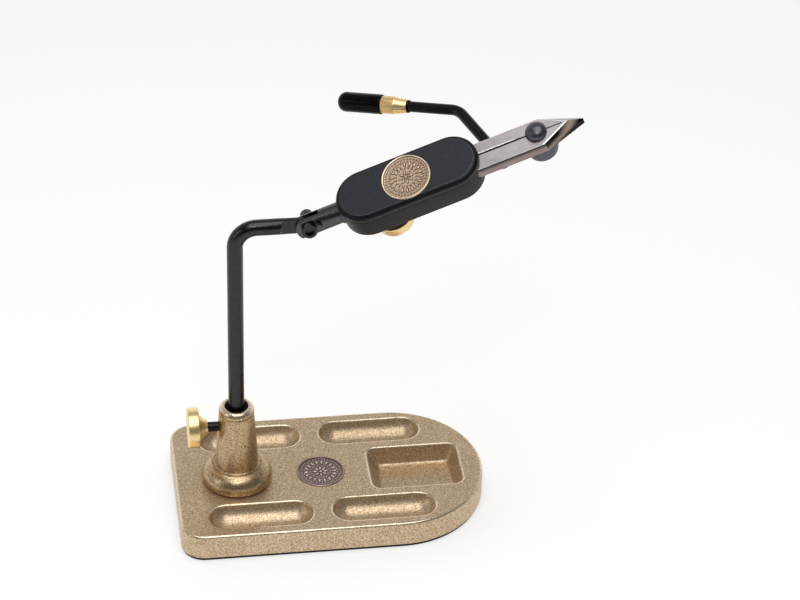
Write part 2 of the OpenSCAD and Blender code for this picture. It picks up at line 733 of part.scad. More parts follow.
module tilt_nut() color("dimgray") on_shaft() rotate([-90, 0, 0]) translate([0, 0, fork_flat / 2])
  difference() {
    rotate_extrude() polygon(concat([[0, 0], [tilt_nut_d / 2, 0]],
      arc(0, tilt_nut_h - tilt_dome_h, tilt_nut_d / 2, tilt_dome_h)));
    translate([0, 0, -over]) cylinder(r = tilt_r, h = tilt_nut_h / 2 + over);
  }

module retaining_ring() color("silver") on_shaft() translate([ring_s, 0, 0]) rotate([0, 90, 0])
  difference() {
    cylinder(d = ring_d, h = ring_t);
    translate([0, 0, -over]) cylinder(r = spigot_r - ring_groove, h = ring_t + 2 * over);
  }

// Cutters that the head's body and its face plate share
module cover_screw_places() for (s = [cover_screw_rear_s, cover_screw_front_s], side = [-1, 1])
  translate([s, side * cover_screw_q, 0]) children();

module jaw_pin_places() for (side = [-1, 1])
  translate([jaw_pin_s, -split_drop + side * jaw_pin_q, 0]) children();

module jaw_pin_shape() translate([0, 0, cavity_back - pin_depth])
  cylinder(r = pin_r, h = parting_t - cavity_back + pin_depth + pin_depth / 2);

module ring_pocket_cut() translate([cavity_s, 0, 0]) rotate([0, 90, 0])
  cylinder(r = ring_pocket_r, h = shaft_end_s + end_clear - cavity_s);

module head_body() color("darkslategray") on_head() difference() {
  translate([head_s, 0, -back_z])
    round_ended_plate(head_l, head_r, head_t - cover_t, back_edge_r, parting_bevel);
  translate([cavity_s, cavity_low, cavity_back])
    cube([head_l, cavity_high - cavity_low, parting_t - cavity_back + over]);
  ring_pocket_cut();
  translate([head_s - over, 0, 0]) rotate([0, 90, 0]) {
    cylinder(d = head_bush_flange_d + 2 * loose_clear, h = head_bush_flange_t + over);
    cylinder(r = head_bush_r, h = head_bush_flange_t + head_bush_l + over);
    cylinder(r = journal_hole_r, h = ring_wall_s - head_s + over);
    cylinder(r = spigot_r + 3 * run_clear, h = cavity_s - head_s + 2 * over);
  }
  translate([tension_s, 0, -back_z - over]) cylinder(r = screw_hole_r, h = back_z + over);
  cover_screw_places() translate([0, 0, -back_z - over]) {
    cylinder(d = cover_screw_d, h = head_t);
    cylinder(d = cover_head_d + loose_clear, h = cover_head_h + over);
  }
  jaw_pin_places() jaw_pin_shape();
}

module head_cover() color("slategray") on_head() difference() {
  translate([head_s, 0, parting_t]) round_ended_plate(head_l, head_r, cover_t, parting_bevel, face_edge_r);
  ring_pocket_cut();
  translate([head_badge_s, 0, face_z + badge_proud - badge_t])
    cylinder(d = head_badge_d, h = badge_t + over);
  translate([head_s - over, 0, 0]) rotate([0, 90, 0]) {
    cylinder(d = head_bush_flange_d + 2 * loose_clear, h = head_bush_flange_t + over);
    cylinder(r = head_bush_r, h = head_bush_flange_t + head_bush_l + over);
    cylinder(r = journal_hole_r, h = ring_wall_s - head_s + over);
  }
  cover_screw_places() translate([0, 0, parting_t - over])
    cylinder(d = cover_screw_d, h = cover_thread + end_clear + over);
  jaw_pin_places() jaw_pin_shape();
}

module head_badge() color("peru") on_head()
  translate([head_badge_s, 0, face_z + badge_proud - badge_t]) badge(head_badge_d);

module cover_screws() color("dimgray") on_head() cover_screw_places()
  translate([0, 0, -back_z + loose_clear]) difference() {
    union() {
      cylinder(d = cover_head_d, h = cover_head_h - loose_clear);
      cylinder(d = cover_screw_d, h = back_z + parting_t + cover_thread - loose_clear);
    }
    translate([0, 0, -over]) cylinder(d = cover_screw_d, h = cover_head_h / 2 + over, $fn = 6);
  }

module head_bush() color("peru") on_head() translate([head_s, 0, 0]) rotate([0, 90, 0]) difference() {
  union() {
    cylinder(d = head_bush_flange_d, h = head_bush_flange_t);
    cylinder(r = head_bush_r, h = head_bush_flange_t + head_bush_l);
  }
  translate([0, 0, -over])
    cylinder(r = journal_r + run_clear, h = head_bush_flange_t + head_bush_l + 2 * over);
}

module jaw_pins() color("silver") on_head() jaw_pin_places() jaw_pin_shape();

// One point of the spring wire's skin: turn angle, place round the wire
function wire_point(turn, around, r, pitch) =
  let (out = [cos(turn), sin(turn), 0], run = 2 * PI * r, tall = sqrt(run * run + pitch * pitch),
    up = [sin(turn) * pitch / tall, -cos(turn) * pitch / tall, run / tall])
  r * out + [0, 0, pitch * turn / 360]
    + spring_wire / 2 * (cos(around) * out + sin(around) * up);

// A coil of wire standing on z = 0, l high
module coil(l) {
  r = (spring_d - spring_wire) / 2;
  pitch = (l - spring_wire) / spring_turns;
  last = spring_turns * rings_per_turn;
  points = [for (i = [0:last], k = [0:wire_sides - 1])
    wire_point(360 * i / rings_per_turn, 360 * k / wire_sides, r, pitch)];
  skin = [for (i = [0:last - 1], k = [0:wire_sides - 1])
    let (a = i * wire_sides + k, b = i * wire_sides + (k + 1) % wire_sides)
    each [[a, b, b + wire_sides], [a, b + wire_sides, a + wire_sides]]];
  first_cap = [for (k = [1:wire_sides - 2]) [0, k + 1, k]];
  end = last * wire_sides;
  end_cap = [for (k = [1:wire_sides - 2]) [end, end + k, end + k + 1]];
  translate([0, 0, spring_wire / 2]) polyhedron(points, concat(skin, first_cap, end_cap));
}

module jaw_springs() color("silver") on_split()
  for (side = [-1, 1]) translate([spring_s, -spring_half, jaw_back + jaw_depth / 2 + side * spring_t])
    rotate([-90, 0, 0]) coil(2 * spring_half);

// Places a piece on the tension screw's axis, which runs out of the head's back
module on_tension() on_head() translate([tension_s, 0, 0]) rotate([180, 0, 0]) children();

module tension_shoe() color("white") on_tension() shoe(tension_shoe_from, tension_shoe_t);
module tension_screw() color("dimgray") on_tension() thumb_screw(tension_screw_from, tension_reach);
module tension_knob() color("gold") on_tension() thumb_knob(tension_reach, tension_knob_d);

// The outline of a jaw on the +q side of the split, w wide at its shank
function jaw_outline(w) = [
  [jaw_tail_s, tail_relief], [tail_end_s, tail_relief], [tail_end_s, split_gap / 2],
  [jaw_tip_s - tip_land_l, split_gap / 2], [jaw_tip_s - tip_land_l + split_gap, tip_gap / 2],
  [jaw_tip_s, tip_gap / 2], [jaw_tip_s, tip_gap / 2 + jaw_tip_w], [jaw_shoulder_s, w],
  [tail_end_s, w], [jaw_tail_s, w - tail_taper]];

// A jaw on the +q side of the split, with the hole that the guide bolt passes
module jaw(w, guide_hole_r) difference() {
  translate([0, 0, jaw_back]) linear_extrude(jaw_depth) polygon(jaw_outline(w));
  translate([bevel_knee_s, bevel_knee_q, jaw_front]) rotate([0, 0, bevel_turn])
    rotate([0, bevel_slope, 0]) translate([-big, -big, 0]) cube([2 * big, 2 * big, big]);
  translate([jaw_pin_s, jaw_pin_q, jaw_back - over])
    cylinder(r = pin_r + run_clear, h = jaw_depth + 2 * over);
  translate([guide_s, 0, jaw_back - over]) cylinder(r = guide_hole_r, h = jaw_depth + 2 * over);
  translate([cam_s - cam_r - loose_clear, -over, jaw_back - over])
    cube([cam_d + 2 * loose_clear, cam_flat / 2 + cam_clear + over,
      cam_top + end_clear - jaw_back + over]);
  translate([cam_s, 0, jaw_back + jaw_depth / 2 - cam_flange_t / 2 - face_clear])
    cylinder(r = cam_flange_d / 2 + loose_clear, h = cam_flange_t + 2 * face_clear);
  for (side = [-1, 1]) translate([spring_s, 0, jaw_back + jaw_depth / 2 + side * spring_t])
    rotate([-90, 0, 0]) cylinder(d = spring_d + loose_clear, h = tail_relief + spring_seat);
}

module jaw_upper() color("lightgray") on_split() jaw(upper_jaw_w, guide_r + loose_clear);
module jaw_lower() color("silver") on_split() mirror([0, 1, 0]) jaw(lower_jaw_w, guide_r);

// The flatted bar between the jaws, its flange and the hub behind them
module lever_cam() color("dimgray") on_split() translate([cam_s, 0, 0]) difference() {
  union() {
    intersection() {
      translate([0, 0, hub_front]) cylinder(r = cam_r, h = cam_top - hub_front);
      translate([-cam_r, -cam_flat / 2, hub_front]) cube([cam_d, cam_flat, cam_top - hub_front]);
    }
    translate([0, 0, jaw_back + jaw_depth / 2 - cam_flange_t / 2])
      cylinder(d = cam_flange_d, h = cam_flange_t);
    translate([0, 0, hub_front - cam_hub_l]) cylinder(r = hub_r, h = cam_hub_l);
  }
  translate([0, 0, rod_t]) rotate([0, 90, rod_angle])
    translate([0, 0, hub_r - rod_spigot_l]) cylinder(d = rod_spigot_d, h = hub_r);
}

// Places a piece on the lever's lower leg, with +X along the leg
module on_low_leg() on_split() translate([cam_s, 0, rod_t]) rotate([0, 0, rod_angle]) children();

// Places a piece on the lever's upper leg, with +X along the leg from the bend's corner
module on_up_leg() on_low_leg() translate([rod_low_l, 0, 0]) rotate([0, 0, rod_bend]) children();

module rod(from, to, r) translate([from, 0, 0]) rotate([0, 90, 0]) cylinder(r = r, h = to - from);

module lever_rod() color("black") {
  on_low_leg() {
    rod(hub_r - rod_spigot_l, hub_r + over, rod_spigot_d / 2);
    rod(hub_r, rod_low_l - bend_leg + rod_lap, rod_r);
    translate([rod_low_l - bend_leg, rod_bend_r, 0]) rotate([0, 0, -90])
      rotate_extrude(angle = rod_bend) translate([rod_bend_r, 0]) circle(rod_r - rod_neck);
  }
  on_up_leg() rod(bend_leg - rod_lap, rod_up_l + ferrule_l + rod_in_grip, rod_r);
}

module lever_ferrule() color("gold") on_up_leg() translate([rod_up_l, 0, 0]) rotate([0, 90, 0])
  difference() {
    union() {
      cylinder(d1 = ferrule_tip_d, d2 = ferrule_d, h = ferrule_cone_l);
      translate([0, 0, ferrule_cone_l]) cylinder(d = ferrule_d, h = ferrule_barrel_l);
    }
    translate([0, 0, -over]) cylinder(r = rod_r, h = ferrule_l + 2 * over);
  }

module lever_grip() color("black") on_up_leg() translate([rod_up_l + ferrule_l, 0, 0]) rotate([0, 90, 0])
  difference() {
    rotate_extrude() polygon(rim(grip_d / 2, grip_l, grip_edge_r, grip_end_r));
    translate([0, 0, -over]) cylinder(r = rod_r, h = rod_in_grip + over);
  }

// The dome-headed bolt through the split, and its cap nut
module guide_bolt() color("black") on_split() translate([guide_s, 0, 0]) {
  translate([0, 0, jaw_front + face_clear]) {
    cylinder(d = dome_d, h = dome_skirt);
    translate([0, 0, dome_skirt]) rotate_extrude()
      polygon(concat([[0, 0]], arc(0, 0, dome_d / 2, dome_h - dome_skirt)));
  }
  translate([0, 0, jaw_back - face_clear - cap_nut_h / 2])
    cylinder(r = guide_r, h = cap_nut_h / 2 + jaw_depth + 3 * face_clear);
}

module guide_nut() color("black") on_split() translate([guide_s, 0, jaw_back - face_clear])
  rotate([180, 0, 0]) difference() {
    rotate_extrude() polygon(rim(cap_nut_d / 2, cap_nut_h, dome_skirt, cap_nut_edge_r));
    translate([0, 0, -over]) cylinder(r = guide_r, h = cap_nut_h / 2 + over);
  }

base();
base_pad();
base_badge();
post();
post_bolt();
stem_bush();
clamp_shoe();
clamp_screw();
clamp_knob();
stem();
head_shaft();
tilt_screw();
tilt_nut();
retaining_ring();
head_body();
head_cover();
head_badge();
cover_screws();
head_bush();
jaw_pins();
jaw_springs();
tension_shoe();
tension_screw();
tension_knob();
lever_cam();
lever_rod();
lever_ferrule();
lever_grip();
jaw_upper();
jaw_lower();
guide_bolt();
guide_nut();
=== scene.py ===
# %% [markdown]
# # A fly tying vise, dressed for its photograph
# The solids, their places and their joints come ready made in the frame. This script gives them
# their looks: cast metal with soft edges, turned and milled steel, polished brass and two badges.
# Where a solid is already right it only gets a finish. Where the eye expects a rounded rim, a
# worn edge or a pattern in relief, a new mesh is made and takes the solid's place.

# %% Load the frame
import math
import bmesh
import bpy
from mathutils import Matrix, Vector, geometry


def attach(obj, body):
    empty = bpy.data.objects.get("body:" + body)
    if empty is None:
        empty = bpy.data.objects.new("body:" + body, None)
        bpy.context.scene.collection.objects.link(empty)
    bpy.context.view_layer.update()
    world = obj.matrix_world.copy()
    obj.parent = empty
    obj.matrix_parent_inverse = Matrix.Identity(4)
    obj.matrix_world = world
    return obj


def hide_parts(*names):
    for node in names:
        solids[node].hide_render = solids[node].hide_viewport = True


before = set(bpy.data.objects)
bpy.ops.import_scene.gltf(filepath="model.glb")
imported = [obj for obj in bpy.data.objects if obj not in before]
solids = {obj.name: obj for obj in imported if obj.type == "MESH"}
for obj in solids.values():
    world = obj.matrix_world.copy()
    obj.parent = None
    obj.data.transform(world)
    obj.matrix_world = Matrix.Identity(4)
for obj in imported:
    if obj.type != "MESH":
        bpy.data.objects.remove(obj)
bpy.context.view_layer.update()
print("solids in the frame:", len(solids))

# %% [markdown]
# ## Places
# Everything is in millimetres here and turned into metres at the end. The head has a frame of its
# own: s runs along the shaft to the jaw tips, q across the jaws and t out of the head's face. The
# split between the jaws lies a little off its middle and has a frame too. One matrix for each
# frame saves working every point out by hand.

# %% Frames of the base, the shaft, the head and the split
MM = 0.001
PIVOT = Vector((42.5, 0, 199.9))
TILT = math.radians(22)
TURN = math.radians(22)
SPLIT_Q = -0.9
JAW_TIP = 168.7
ON_PART = Matrix.Identity(4)
ON_SHAFT = Matrix.Translation(PIVOT) @ Matrix.Rotation(-TILT, 4, "Y")
ON_HEAD = ON_SHAFT @ Matrix.Rotation(TURN, 4, "X")
ON_SPLIT = ON_HEAD @ Matrix.Translation((0, SPLIT_Q, 0))


def along(frame_matrix, point, direction):
    """A frame whose Z runs along a direction, for pieces that are turned on a lathe."""
    turn = Vector((0, 0, 1)).rotation_difference(Vector(direction)).to_matrix().to_4x4()
    return frame_matrix @ Matrix.Translation(point) @ turn


print("the jaw tips are near", [round(v, 1) for v in ON_SPLIT @ Vector((JAW_TIP, 0, 0))])

# %% [markdown]
# ## Helpers for meshes
# A turned piece is an outline spun round an axis. Real turned pieces have no perfectly sharp
# corner, and it is the small rounding that catches the light, so the outline is given as corners
# with a radius each, and every corner is replaced by a short arc before it is spun.

# %% Rounding the corners of an outline
def rounded(corners, steps=5):
    """Corners (x, y, radius) as points, each one an arc that touches both sides."""
    points = []
    last = len(corners) - 1
    for i, corner in enumerate(corners):
        here = Vector(corner[:2])
        radius = corner[2] if len(corner) > 2 else 0
        if radius <= 0 or i in (0, last):
            points.append(tuple(here))
            continue
        before = (Vector(corners[i - 1][:2]) - here).normalized()
        after = (Vector(corners[i + 1][:2]) - here).normalized()
        half = before.angle(after) / 2
        reach = radius / math.tan(half)
        centre = here + (before + after).normalized() * radius / math.sin(half)
        start = here + before * reach - centre
        end = here + after * reach - centre
        for k in range(steps + 1):
            points.append(tuple(centre + radius * start.slerp(end, k / steps).normalized()))
    return points


# %% Making an object of faces, smooth but for its sharp edges
def linked(name, data):
    """A new object of the scene that holds this mesh, light or camera."""
    thing = bpy.data.objects.new(name, data)
    bpy.context.scene.collection.objects.link(thing)
    return thing


def made(name, bm, matrix, finishes, sharp=32):
    """A finished object at the origin, with its place in its mesh and its normals pointing out."""
    bmesh.ops.remove_doubles(bm, verts=bm.verts, dist=1e-4)
    bmesh.ops.recalc_face_normals(bm, faces=bm.faces)
    mesh = bpy.data.meshes.new(name)
    bm.to_mesh(mesh)
    bm.free()
    mesh.transform(Matrix.Scale(MM, 4) @ matrix)
    mesh.polygons.foreach_set("use_smooth", [True] * len(mesh.polygons))
    mesh.set_sharp_from_angle(angle=math.radians(sharp))
    for look in finishes:
        mesh.materials.append(look)
    return linked(name, mesh)


# %% Spinning an outline
ON_AXIS = 1e-6


def spun(name, outline, matrix, finishes, steps=96, finish_of=None):
    """Spins points (radius, height) that run from the axis back to it, or close on themselves."""
    bm = bmesh.new()
    rings = []
    for radius, height in outline:
        if radius < ON_AXIS:
            rings.append([bm.verts.new((0, 0, height))] * steps)
        else:
            rings.append([bm.verts.new((radius * math.cos(2 * math.pi * k / steps),
                                        radius * math.sin(2 * math.pi * k / steps), height))
                          for k in range(steps)])
    pairs = list(zip(rings, rings[1:]))
    if outline[0][0] > ON_AXIS:
        pairs.append((rings[-1], rings[0]))
    for number, (low, high) in enumerate(pairs):
        for k in range(steps):
            corners = [low[k], low[(k + 1) % steps], high[(k + 1) % steps], high[k]]
            corners = [v for i, v in enumerate(corners) if v not in corners[:i]]
            if len(corners) > 2:
                face = bm.faces.new(corners)
                face.material_index = finish_of(number) if finish_of else 0
    return made(name, bm, matrix, finishes)


# %% Handing a piece over to the frame
def placed(piece, body, slot, *nodes):
    """The piece rides on a body and stands for the solids that it replaces; the slot is not used.
    """
    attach(piece, body)
    if nodes:
        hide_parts(*nodes)
    print(f"{piece.name}: {len(piece.data.polygons)} faces on {body}")
    return piece


# %% [markdown]
# ## Milled edges on a ready-made solid
# Some solids only lack the fine rounding that a real edge has. A copy of the solid is welded, its
# flat faces are joined, and a Bevel modifier rounds what is left of the sharp edges. A subdivision
# would change the whole shape, and the bevel leaves the faces where they are.

# %% A copy of a solid with softened edges
def welded(node):
    """A solid's mesh in millimetres, with its loose triangles joined and its flat faces whole."""
    mesh = solids[node].data.copy()
    mesh.transform(Matrix.Scale(1 / MM, 4))
    bm = bmesh.new()
    bm.from_mesh(mesh)
    bmesh.ops.remove_doubles(bm, verts=bm.verts, dist=0.002)
    bmesh.ops.dissolve_limit(bm, angle_limit=math.radians(0.4), verts=bm.verts, edges=bm.edges)
    return bm


def dressed(node, name, width, look):
    """A solid's copy with every edge rounded that is sharper than 30 degrees."""
    piece = made(name, welded(node), ON_PART, [look], sharp=30)
    bevel = piece.modifiers.new("soft edge", "BEVEL")
    bevel.width = width * MM
    bevel.segments = 2
    bevel.harden_normals = True
    bevel.limit_method = "ANGLE"
    bevel.angle_limit = math.radians(30)
    return piece


# %% [markdown]
# ## Effects that several finishes share
# Flakes, grain and drifts of tone turn up on many pieces, so each is a node group that is made
# once. A group gives only values that change over the surface, and each finish decides what to do
# with them.

# %% Small helpers for node trees
def wire(tree, kind, at=(0, 0), **settings):
    """Adds a node; settings that name an input give its value, others are the node's own."""
    node = tree.nodes.new(kind)
    node.location = at
    for key, value in settings.items():
        if hasattr(node, key):
            setattr(node, key, value)
        else:
            node.inputs[key.replace("_", " ")].default_value = value
    return node


def new_group(name, inputs, outputs):
    group = bpy.data.node_groups.new(name, "ShaderNodeTree")
    for label, value in inputs:
        socket = group.interface.new_socket(label, in_out="INPUT", socket_type="NodeSocketFloat")
        socket.default_value = value
    for label in outputs:
        group.interface.new_socket(label, in_out="OUTPUT", socket_type="NodeSocketFloat")
    start = wire(group, "NodeGroupInput", (-900, 0))
    end = wire(group, "NodeGroupOutput", (900, 0))
    return group, start, end


def scale_of(tree, size, at=(-700, 0)):
    """Turns an output in millimetres into a texture's scale, which is counted per metre."""
    node = wire(tree, "ShaderNodeMath", at, operation="DIVIDE")
    node.inputs[0].default_value = 1 / MM
    tree.links.new(size, node.inputs[1])
    return node.outputs[0]


# %% Flakes and orange peel of a powder coat
PEEL_COARSER = 0.6


def flakes_group():
    group, start, end = new_group("coat flakes", [("Size", 0.45), ("Spread", 0.5)],
                                  ["Flake", "Peel"])
    where = wire(group, "ShaderNodeTexCoord", (-900, 300))
    scale = scale_of(group, start.outputs["Size"])
    cells = wire(group, "ShaderNodeTexVoronoi", (-450, 200), feature="F1")
    group.links.new(where.outputs["Object"], cells.inputs["Vector"])
    group.links.new(scale, cells.inputs["Scale"])
    grey = wire(group, "ShaderNodeSeparateColor", (-200, 200))
    group.links.new(cells.outputs["Color"], grey.inputs[0])
    lift = wire(group, "ShaderNodeMath", (100, 200), operation="POWER")
    group.links.new(grey.outputs[0], lift.inputs[0])
    group.links.new(start.outputs["Spread"], lift.inputs[1])
    group.links.new(lift.outputs[0], end.inputs["Flake"])
    coarser = wire(group, "ShaderNodeMath", (-450, -200), operation="MULTIPLY")
    coarser.inputs[1].default_value = PEEL_COARSER
    group.links.new(scale, coarser.inputs[0])
    noise = wire(group, "ShaderNodeTexNoise", (-200, -200), Detail=4.0, Roughness=0.6)
    group.links.new(where.outputs["Object"], noise.inputs["Vector"])
    group.links.new(coarser.outputs[0], noise.inputs["Scale"])
    group.links.new(noise.outputs[0], end.inputs["Peel"])
    return group


FLAKES = flakes_group()


# %% Slow drifts of tone over a whole piece
def drift_group():
    group, start, end = new_group("tone drift", [("Size", 20.0), ("Contrast", 1.0)], ["Tone"])
    where = wire(group, "ShaderNodeTexCoord", (-900, 300))
    scale = scale_of(group, start.outputs["Size"])
    noise = wire(group, "ShaderNodeTexNoise", (-450, 0), Detail=3.0, Roughness=0.55)
    group.links.new(where.outputs["Object"], noise.inputs["Vector"])
    group.links.new(scale, noise.inputs["Scale"])
    middle = wire(group, "ShaderNodeMath", (-200, 0), operation="SUBTRACT")
    middle.inputs[1].default_value = 0.5
    group.links.new(noise.outputs[0], middle.inputs[0])
    stretch = wire(group, "ShaderNodeMath", (50, 0), operation="MULTIPLY_ADD")
    stretch.inputs[2].default_value = 0.5
    stretch.use_clamp = True
    group.links.new(middle.outputs[0], stretch.inputs[0])
    group.links.new(start.outputs["Contrast"], stretch.inputs[1])
    group.links.new(stretch.outputs[0], end.inputs["Tone"])
    return group


DRIFT = drift_group()


# %% Fine lines left by grinding or turning
def grain_group():
    group, start, end = new_group("machine grain", [("Along", 8.0), ("Across", 0.25)], ["Line"])
    where = wire(group, "ShaderNodeTexCoord", (-900, 300))
    turn = wire(group, "ShaderNodeMapping", (-600, 300), vector_type="TEXTURE")
    turn.inputs["Rotation"].default_value = (0, -TILT, 0)
    group.links.new(where.outputs["Object"], turn.inputs["Vector"])
    scale = scale_of(group, start.outputs["Across"], (-600, -50))
    stretch = wire(group, "ShaderNodeMath", (-600, -250), operation="DIVIDE")
    group.links.new(start.outputs["Across"], stretch.inputs[0])
    group.links.new(start.outputs["Along"], stretch.inputs[1])
    combine = wire(group, "ShaderNodeCombineXYZ", (-400, -250))
    combine.inputs[1].default_value = 1
    combine.inputs[2].default_value = 1
    group.links.new(stretch.outputs[0], combine.inputs[0])
    squeeze = wire(group, "ShaderNodeVectorMath", (-200, 150), operation="MULTIPLY")
    group.links.new(turn.outputs[0], squeeze.inputs[0])
    group.links.new(combine.outputs[0], squeeze.inputs[1])
    noise = wire(group, "ShaderNodeTexNoise", (100, 0), Detail=2.0, Roughness=0.5)
    group.links.new(squeeze.outputs[0], noise.inputs["Vector"])
    group.links.new(scale, noise.inputs["Scale"])
    group.links.new(noise.outputs[0], end.inputs["Line"])
    return group


GRAIN = grain_group()
print("shared effects:", FLAKES.name, DRIFT.name, GRAIN.name)

# %% [markdown]
# ## Finishes
# Each finish is a Principled BSDF with its own numbers. The shared groups feed its colour, its
# roughness and its bump, so that no surface is one flat colour.

# %% Starting a finish
def finish(name, metallic, roughness, specular=0.5):
    material = bpy.data.materials.new(name)
    material.use_nodes = True
    tree = material.node_tree
    shader = tree.nodes["Principled BSDF"]
    shader.inputs["Metallic"].default_value = metallic
    shader.inputs["Roughness"].default_value = roughness
    shader.inputs["Specular IOR Level"].default_value = specular
    return material, tree, shader


def effect(tree, group, at, **values):
    node = tree.nodes.new("ShaderNodeGroup")
    node.node_tree = group
    node.location = at
    for key, value in values.items():
        node.inputs[key].default_value = value
    return node


def blend_colours(tree, amount, low, high, at=(-300, 200)):
    """Mixes two colours by an output, and returns the mixed colour."""
    mix = tree.nodes.new("ShaderNodeMix")
    mix.data_type = "RGBA"
    mix.location = at
    tree.links.new(amount, mix.inputs[0])
    # sockets 6 and 7 are the node's two colours, and its output 2 is the mixed colour
    for socket, value in ((mix.inputs[6], low), (mix.inputs[7], high)):
        if isinstance(value, bpy.types.NodeSocket):
            tree.links.new(value, socket)
        else:
            socket.default_value = (*value, 1)
    return mix.outputs[2]


def spread(tree, value, low, high, at=(-300, -100), start=0.0, end=1.0):
    """Moves an output from the range start to end into the range low to high."""
    node = wire(tree, "ShaderNodeMapRange", at)
    node.inputs["From Min"].default_value = start
    node.inputs["From Max"].default_value = end
    node.inputs["To Min"].default_value = low
    node.inputs["To Max"].default_value = high
    tree.links.new(value, node.inputs["Value"])
    return node.outputs[0]


def bumped(tree, shader, height, strength, distance):
    node = wire(tree, "ShaderNodeBump", (-200, -400), Strength=strength, Distance=distance * MM)
    tree.links.new(height, node.inputs["Height"])
    tree.links.new(node.outputs[0], shader.inputs["Normal"])


# %% Bronze-gold powder coat of the base and the post
def bronze_coat(name, lacquer, metal, roughness):
    """Pale metal flakes in a brown lacquer: each flake has its own share of the two."""
    material, tree, shader = finish(name, 0.9, roughness)
    flake = effect(tree, FLAKES, (-900, 200), Size=0.42, Spread=1.0)
    tone = effect(tree, DRIFT, (-900, -100), Size=26.0, Contrast=1.2)
    base = blend_colours(tree, flake.outputs["Flake"], lacquer, metal, (-600, 200))
    warm = blend_colours(tree, tone.outputs["Tone"], (0.90, 0.88, 0.84), (1.0, 1.0, 1.0),
                         (-600, -50))
    both = tree.nodes.new("ShaderNodeMix")
    both.data_type = "RGBA"
    both.blend_type = "MULTIPLY"
    both.inputs[0].default_value = 1
    both.location = (-350, 100)
    tree.links.new(base, both.inputs[6])
    tree.links.new(warm, both.inputs[7])
    tree.links.new(both.outputs[2], shader.inputs["Base Color"])
    tree.links.new(spread(tree, flake.outputs["Flake"], 0.72, 1.0, (-300, -50)),
                   shader.inputs["Metallic"])
    tree.links.new(spread(tree, flake.outputs["Peel"], roughness - 0.06, roughness + 0.08),
                   shader.inputs["Roughness"])
    bumped(tree, shader, flake.outputs["Peel"], 0.3, 0.12)
    return material


CAST_BRONZE = bronze_coat("bronze powder coat", (0.36, 0.235, 0.10), (0.93, 0.755, 0.56), 0.42)
# Painted shade: the post has the base's coat, painted darker and more saturated.
POST_BRONZE_SHADED = bronze_coat("bronze coat darkened as painted shade", (0.22, 0.125, 0.035), (0.80, 0.62, 0.40), 0.30)
# Pale rims: partly rubbed wear, partly a painted highlight along each rounded rim.
RIM_WEAR_AND_HIGHLIGHT = bronze_coat("rubbed bronze rim and painted highlight", (0.60, 0.46, 0.30), (1.0, 0.88, 0.70), 0.26)


# %% Black and grey finishes
def dark_coat(name, dark, light, metallic, roughness, size, bump, specular=0.5):
    """A coat or a metal whose tone follows its fine unevenness, size being the flakes' size."""
    material, tree, shader = finish(name, metallic, roughness, specular)
    flake = effect(tree, FLAKES, (-900, 200), Size=size, Spread=1.0)
    colour = blend_colours(tree, flake.outputs["Peel"], dark, light)
    tree.links.new(colour, shader.inputs["Base Color"])
    tree.links.new(spread(tree, flake.outputs["Flake"], roughness - 0.05, roughness + 0.08),
                   shader.inputs["Roughness"])
    bumped(tree, shader, flake.outputs["Peel"], bump, 0.1)
    return material


FACE_BLACK = dark_coat("textured face black", (0.010, 0.011, 0.016), (0.034, 0.036, 0.047),
                       0.0, 0.42, 0.9, 0.45, specular=0.3)
CASTING_BLACK = dark_coat("satin casting black", (0.012, 0.011, 0.011), (0.026, 0.024, 0.023),
                          0.0, 0.45, 0.7, 0.4, specular=0.25)
BLACK_STEEL = dark_coat("black oxide steel", (0.032, 0.031, 0.032), (0.060, 0.058, 0.061),
                        1.0, 0.24, 1.2, 0.12)
# Painted highlight: the fork shaft's black steel is painted lighter than the stem's.
SHAFT_BLACK_LIGHTENED = dark_coat("black steel lightened as painted highlight", (0.055, 0.055, 0.060), (0.13, 0.13, 0.14), 1.0, 0.26,
                        0.5, 0.15)
ROD_BLACK = dark_coat("gloss black rod", (0.004, 0.004, 0.005), (0.010, 0.010, 0.012),
                      0.0, 0.16, 1.6, 0.1, specular=0.2)
GRIP_BLACK = dark_coat("gloss black grip", (0.001, 0.001, 0.002), (0.004, 0.004, 0.005),
                       0.0, 0.15, 3.0, 0.08, specular=0.13)
GUNMETAL = dark_coat("dark gunmetal", (0.055, 0.052, 0.064), (0.15, 0.145, 0.17),
                     0.95, 0.36, 0.9, 0.25)
PAD_RUBBER = dark_coat("matt pad rubber", (0.015, 0.014, 0.013), (0.040, 0.038, 0.036),
                       0.0, 0.85, 0.6, 0.8)
BUSH_BLACK = dark_coat("moulded black", (0.002, 0.002, 0.002), (0.006, 0.006, 0.006),
                       0.0, 0.5, 0.8, 0.3, specular=0.08)
NYLON = dark_coat("white nylon", (0.72, 0.71, 0.67), (0.86, 0.85, 0.82), 0.0, 0.5, 1.5, 0.2)


# %% Steels with a grain
def grained(name, dark, light, metallic, roughness, bump=0.2, along_mm=9.0, across_mm=0.22,
            specular=0.5):
    """A ground or turned metal, with lines of a length and a width along the head's own axis."""
    material, tree, shader = finish(name, metallic, roughness, specular)
    grain = effect(tree, GRAIN, (-900, 200), Along=along_mm, Across=across_mm)
    tone = effect(tree, DRIFT, (-900, -100), Size=7.0, Contrast=1.4)
    lines = blend_colours(tree, grain.outputs["Line"], dark, light, (-600, 200))
    cooler = tuple(c * 0.93 for c in light)
    colour = blend_colours(tree, tone.outputs["Tone"], lines, cooler, (-350, 100))
    tree.links.new(colour, shader.inputs["Base Color"])
    tree.links.new(spread(tree, grain.outputs["Line"], roughness - 0.06, roughness + 0.08),
                   shader.inputs["Roughness"])
    bumped(tree, shader, grain.outputs["Line"], bump, 0.05)
    return material


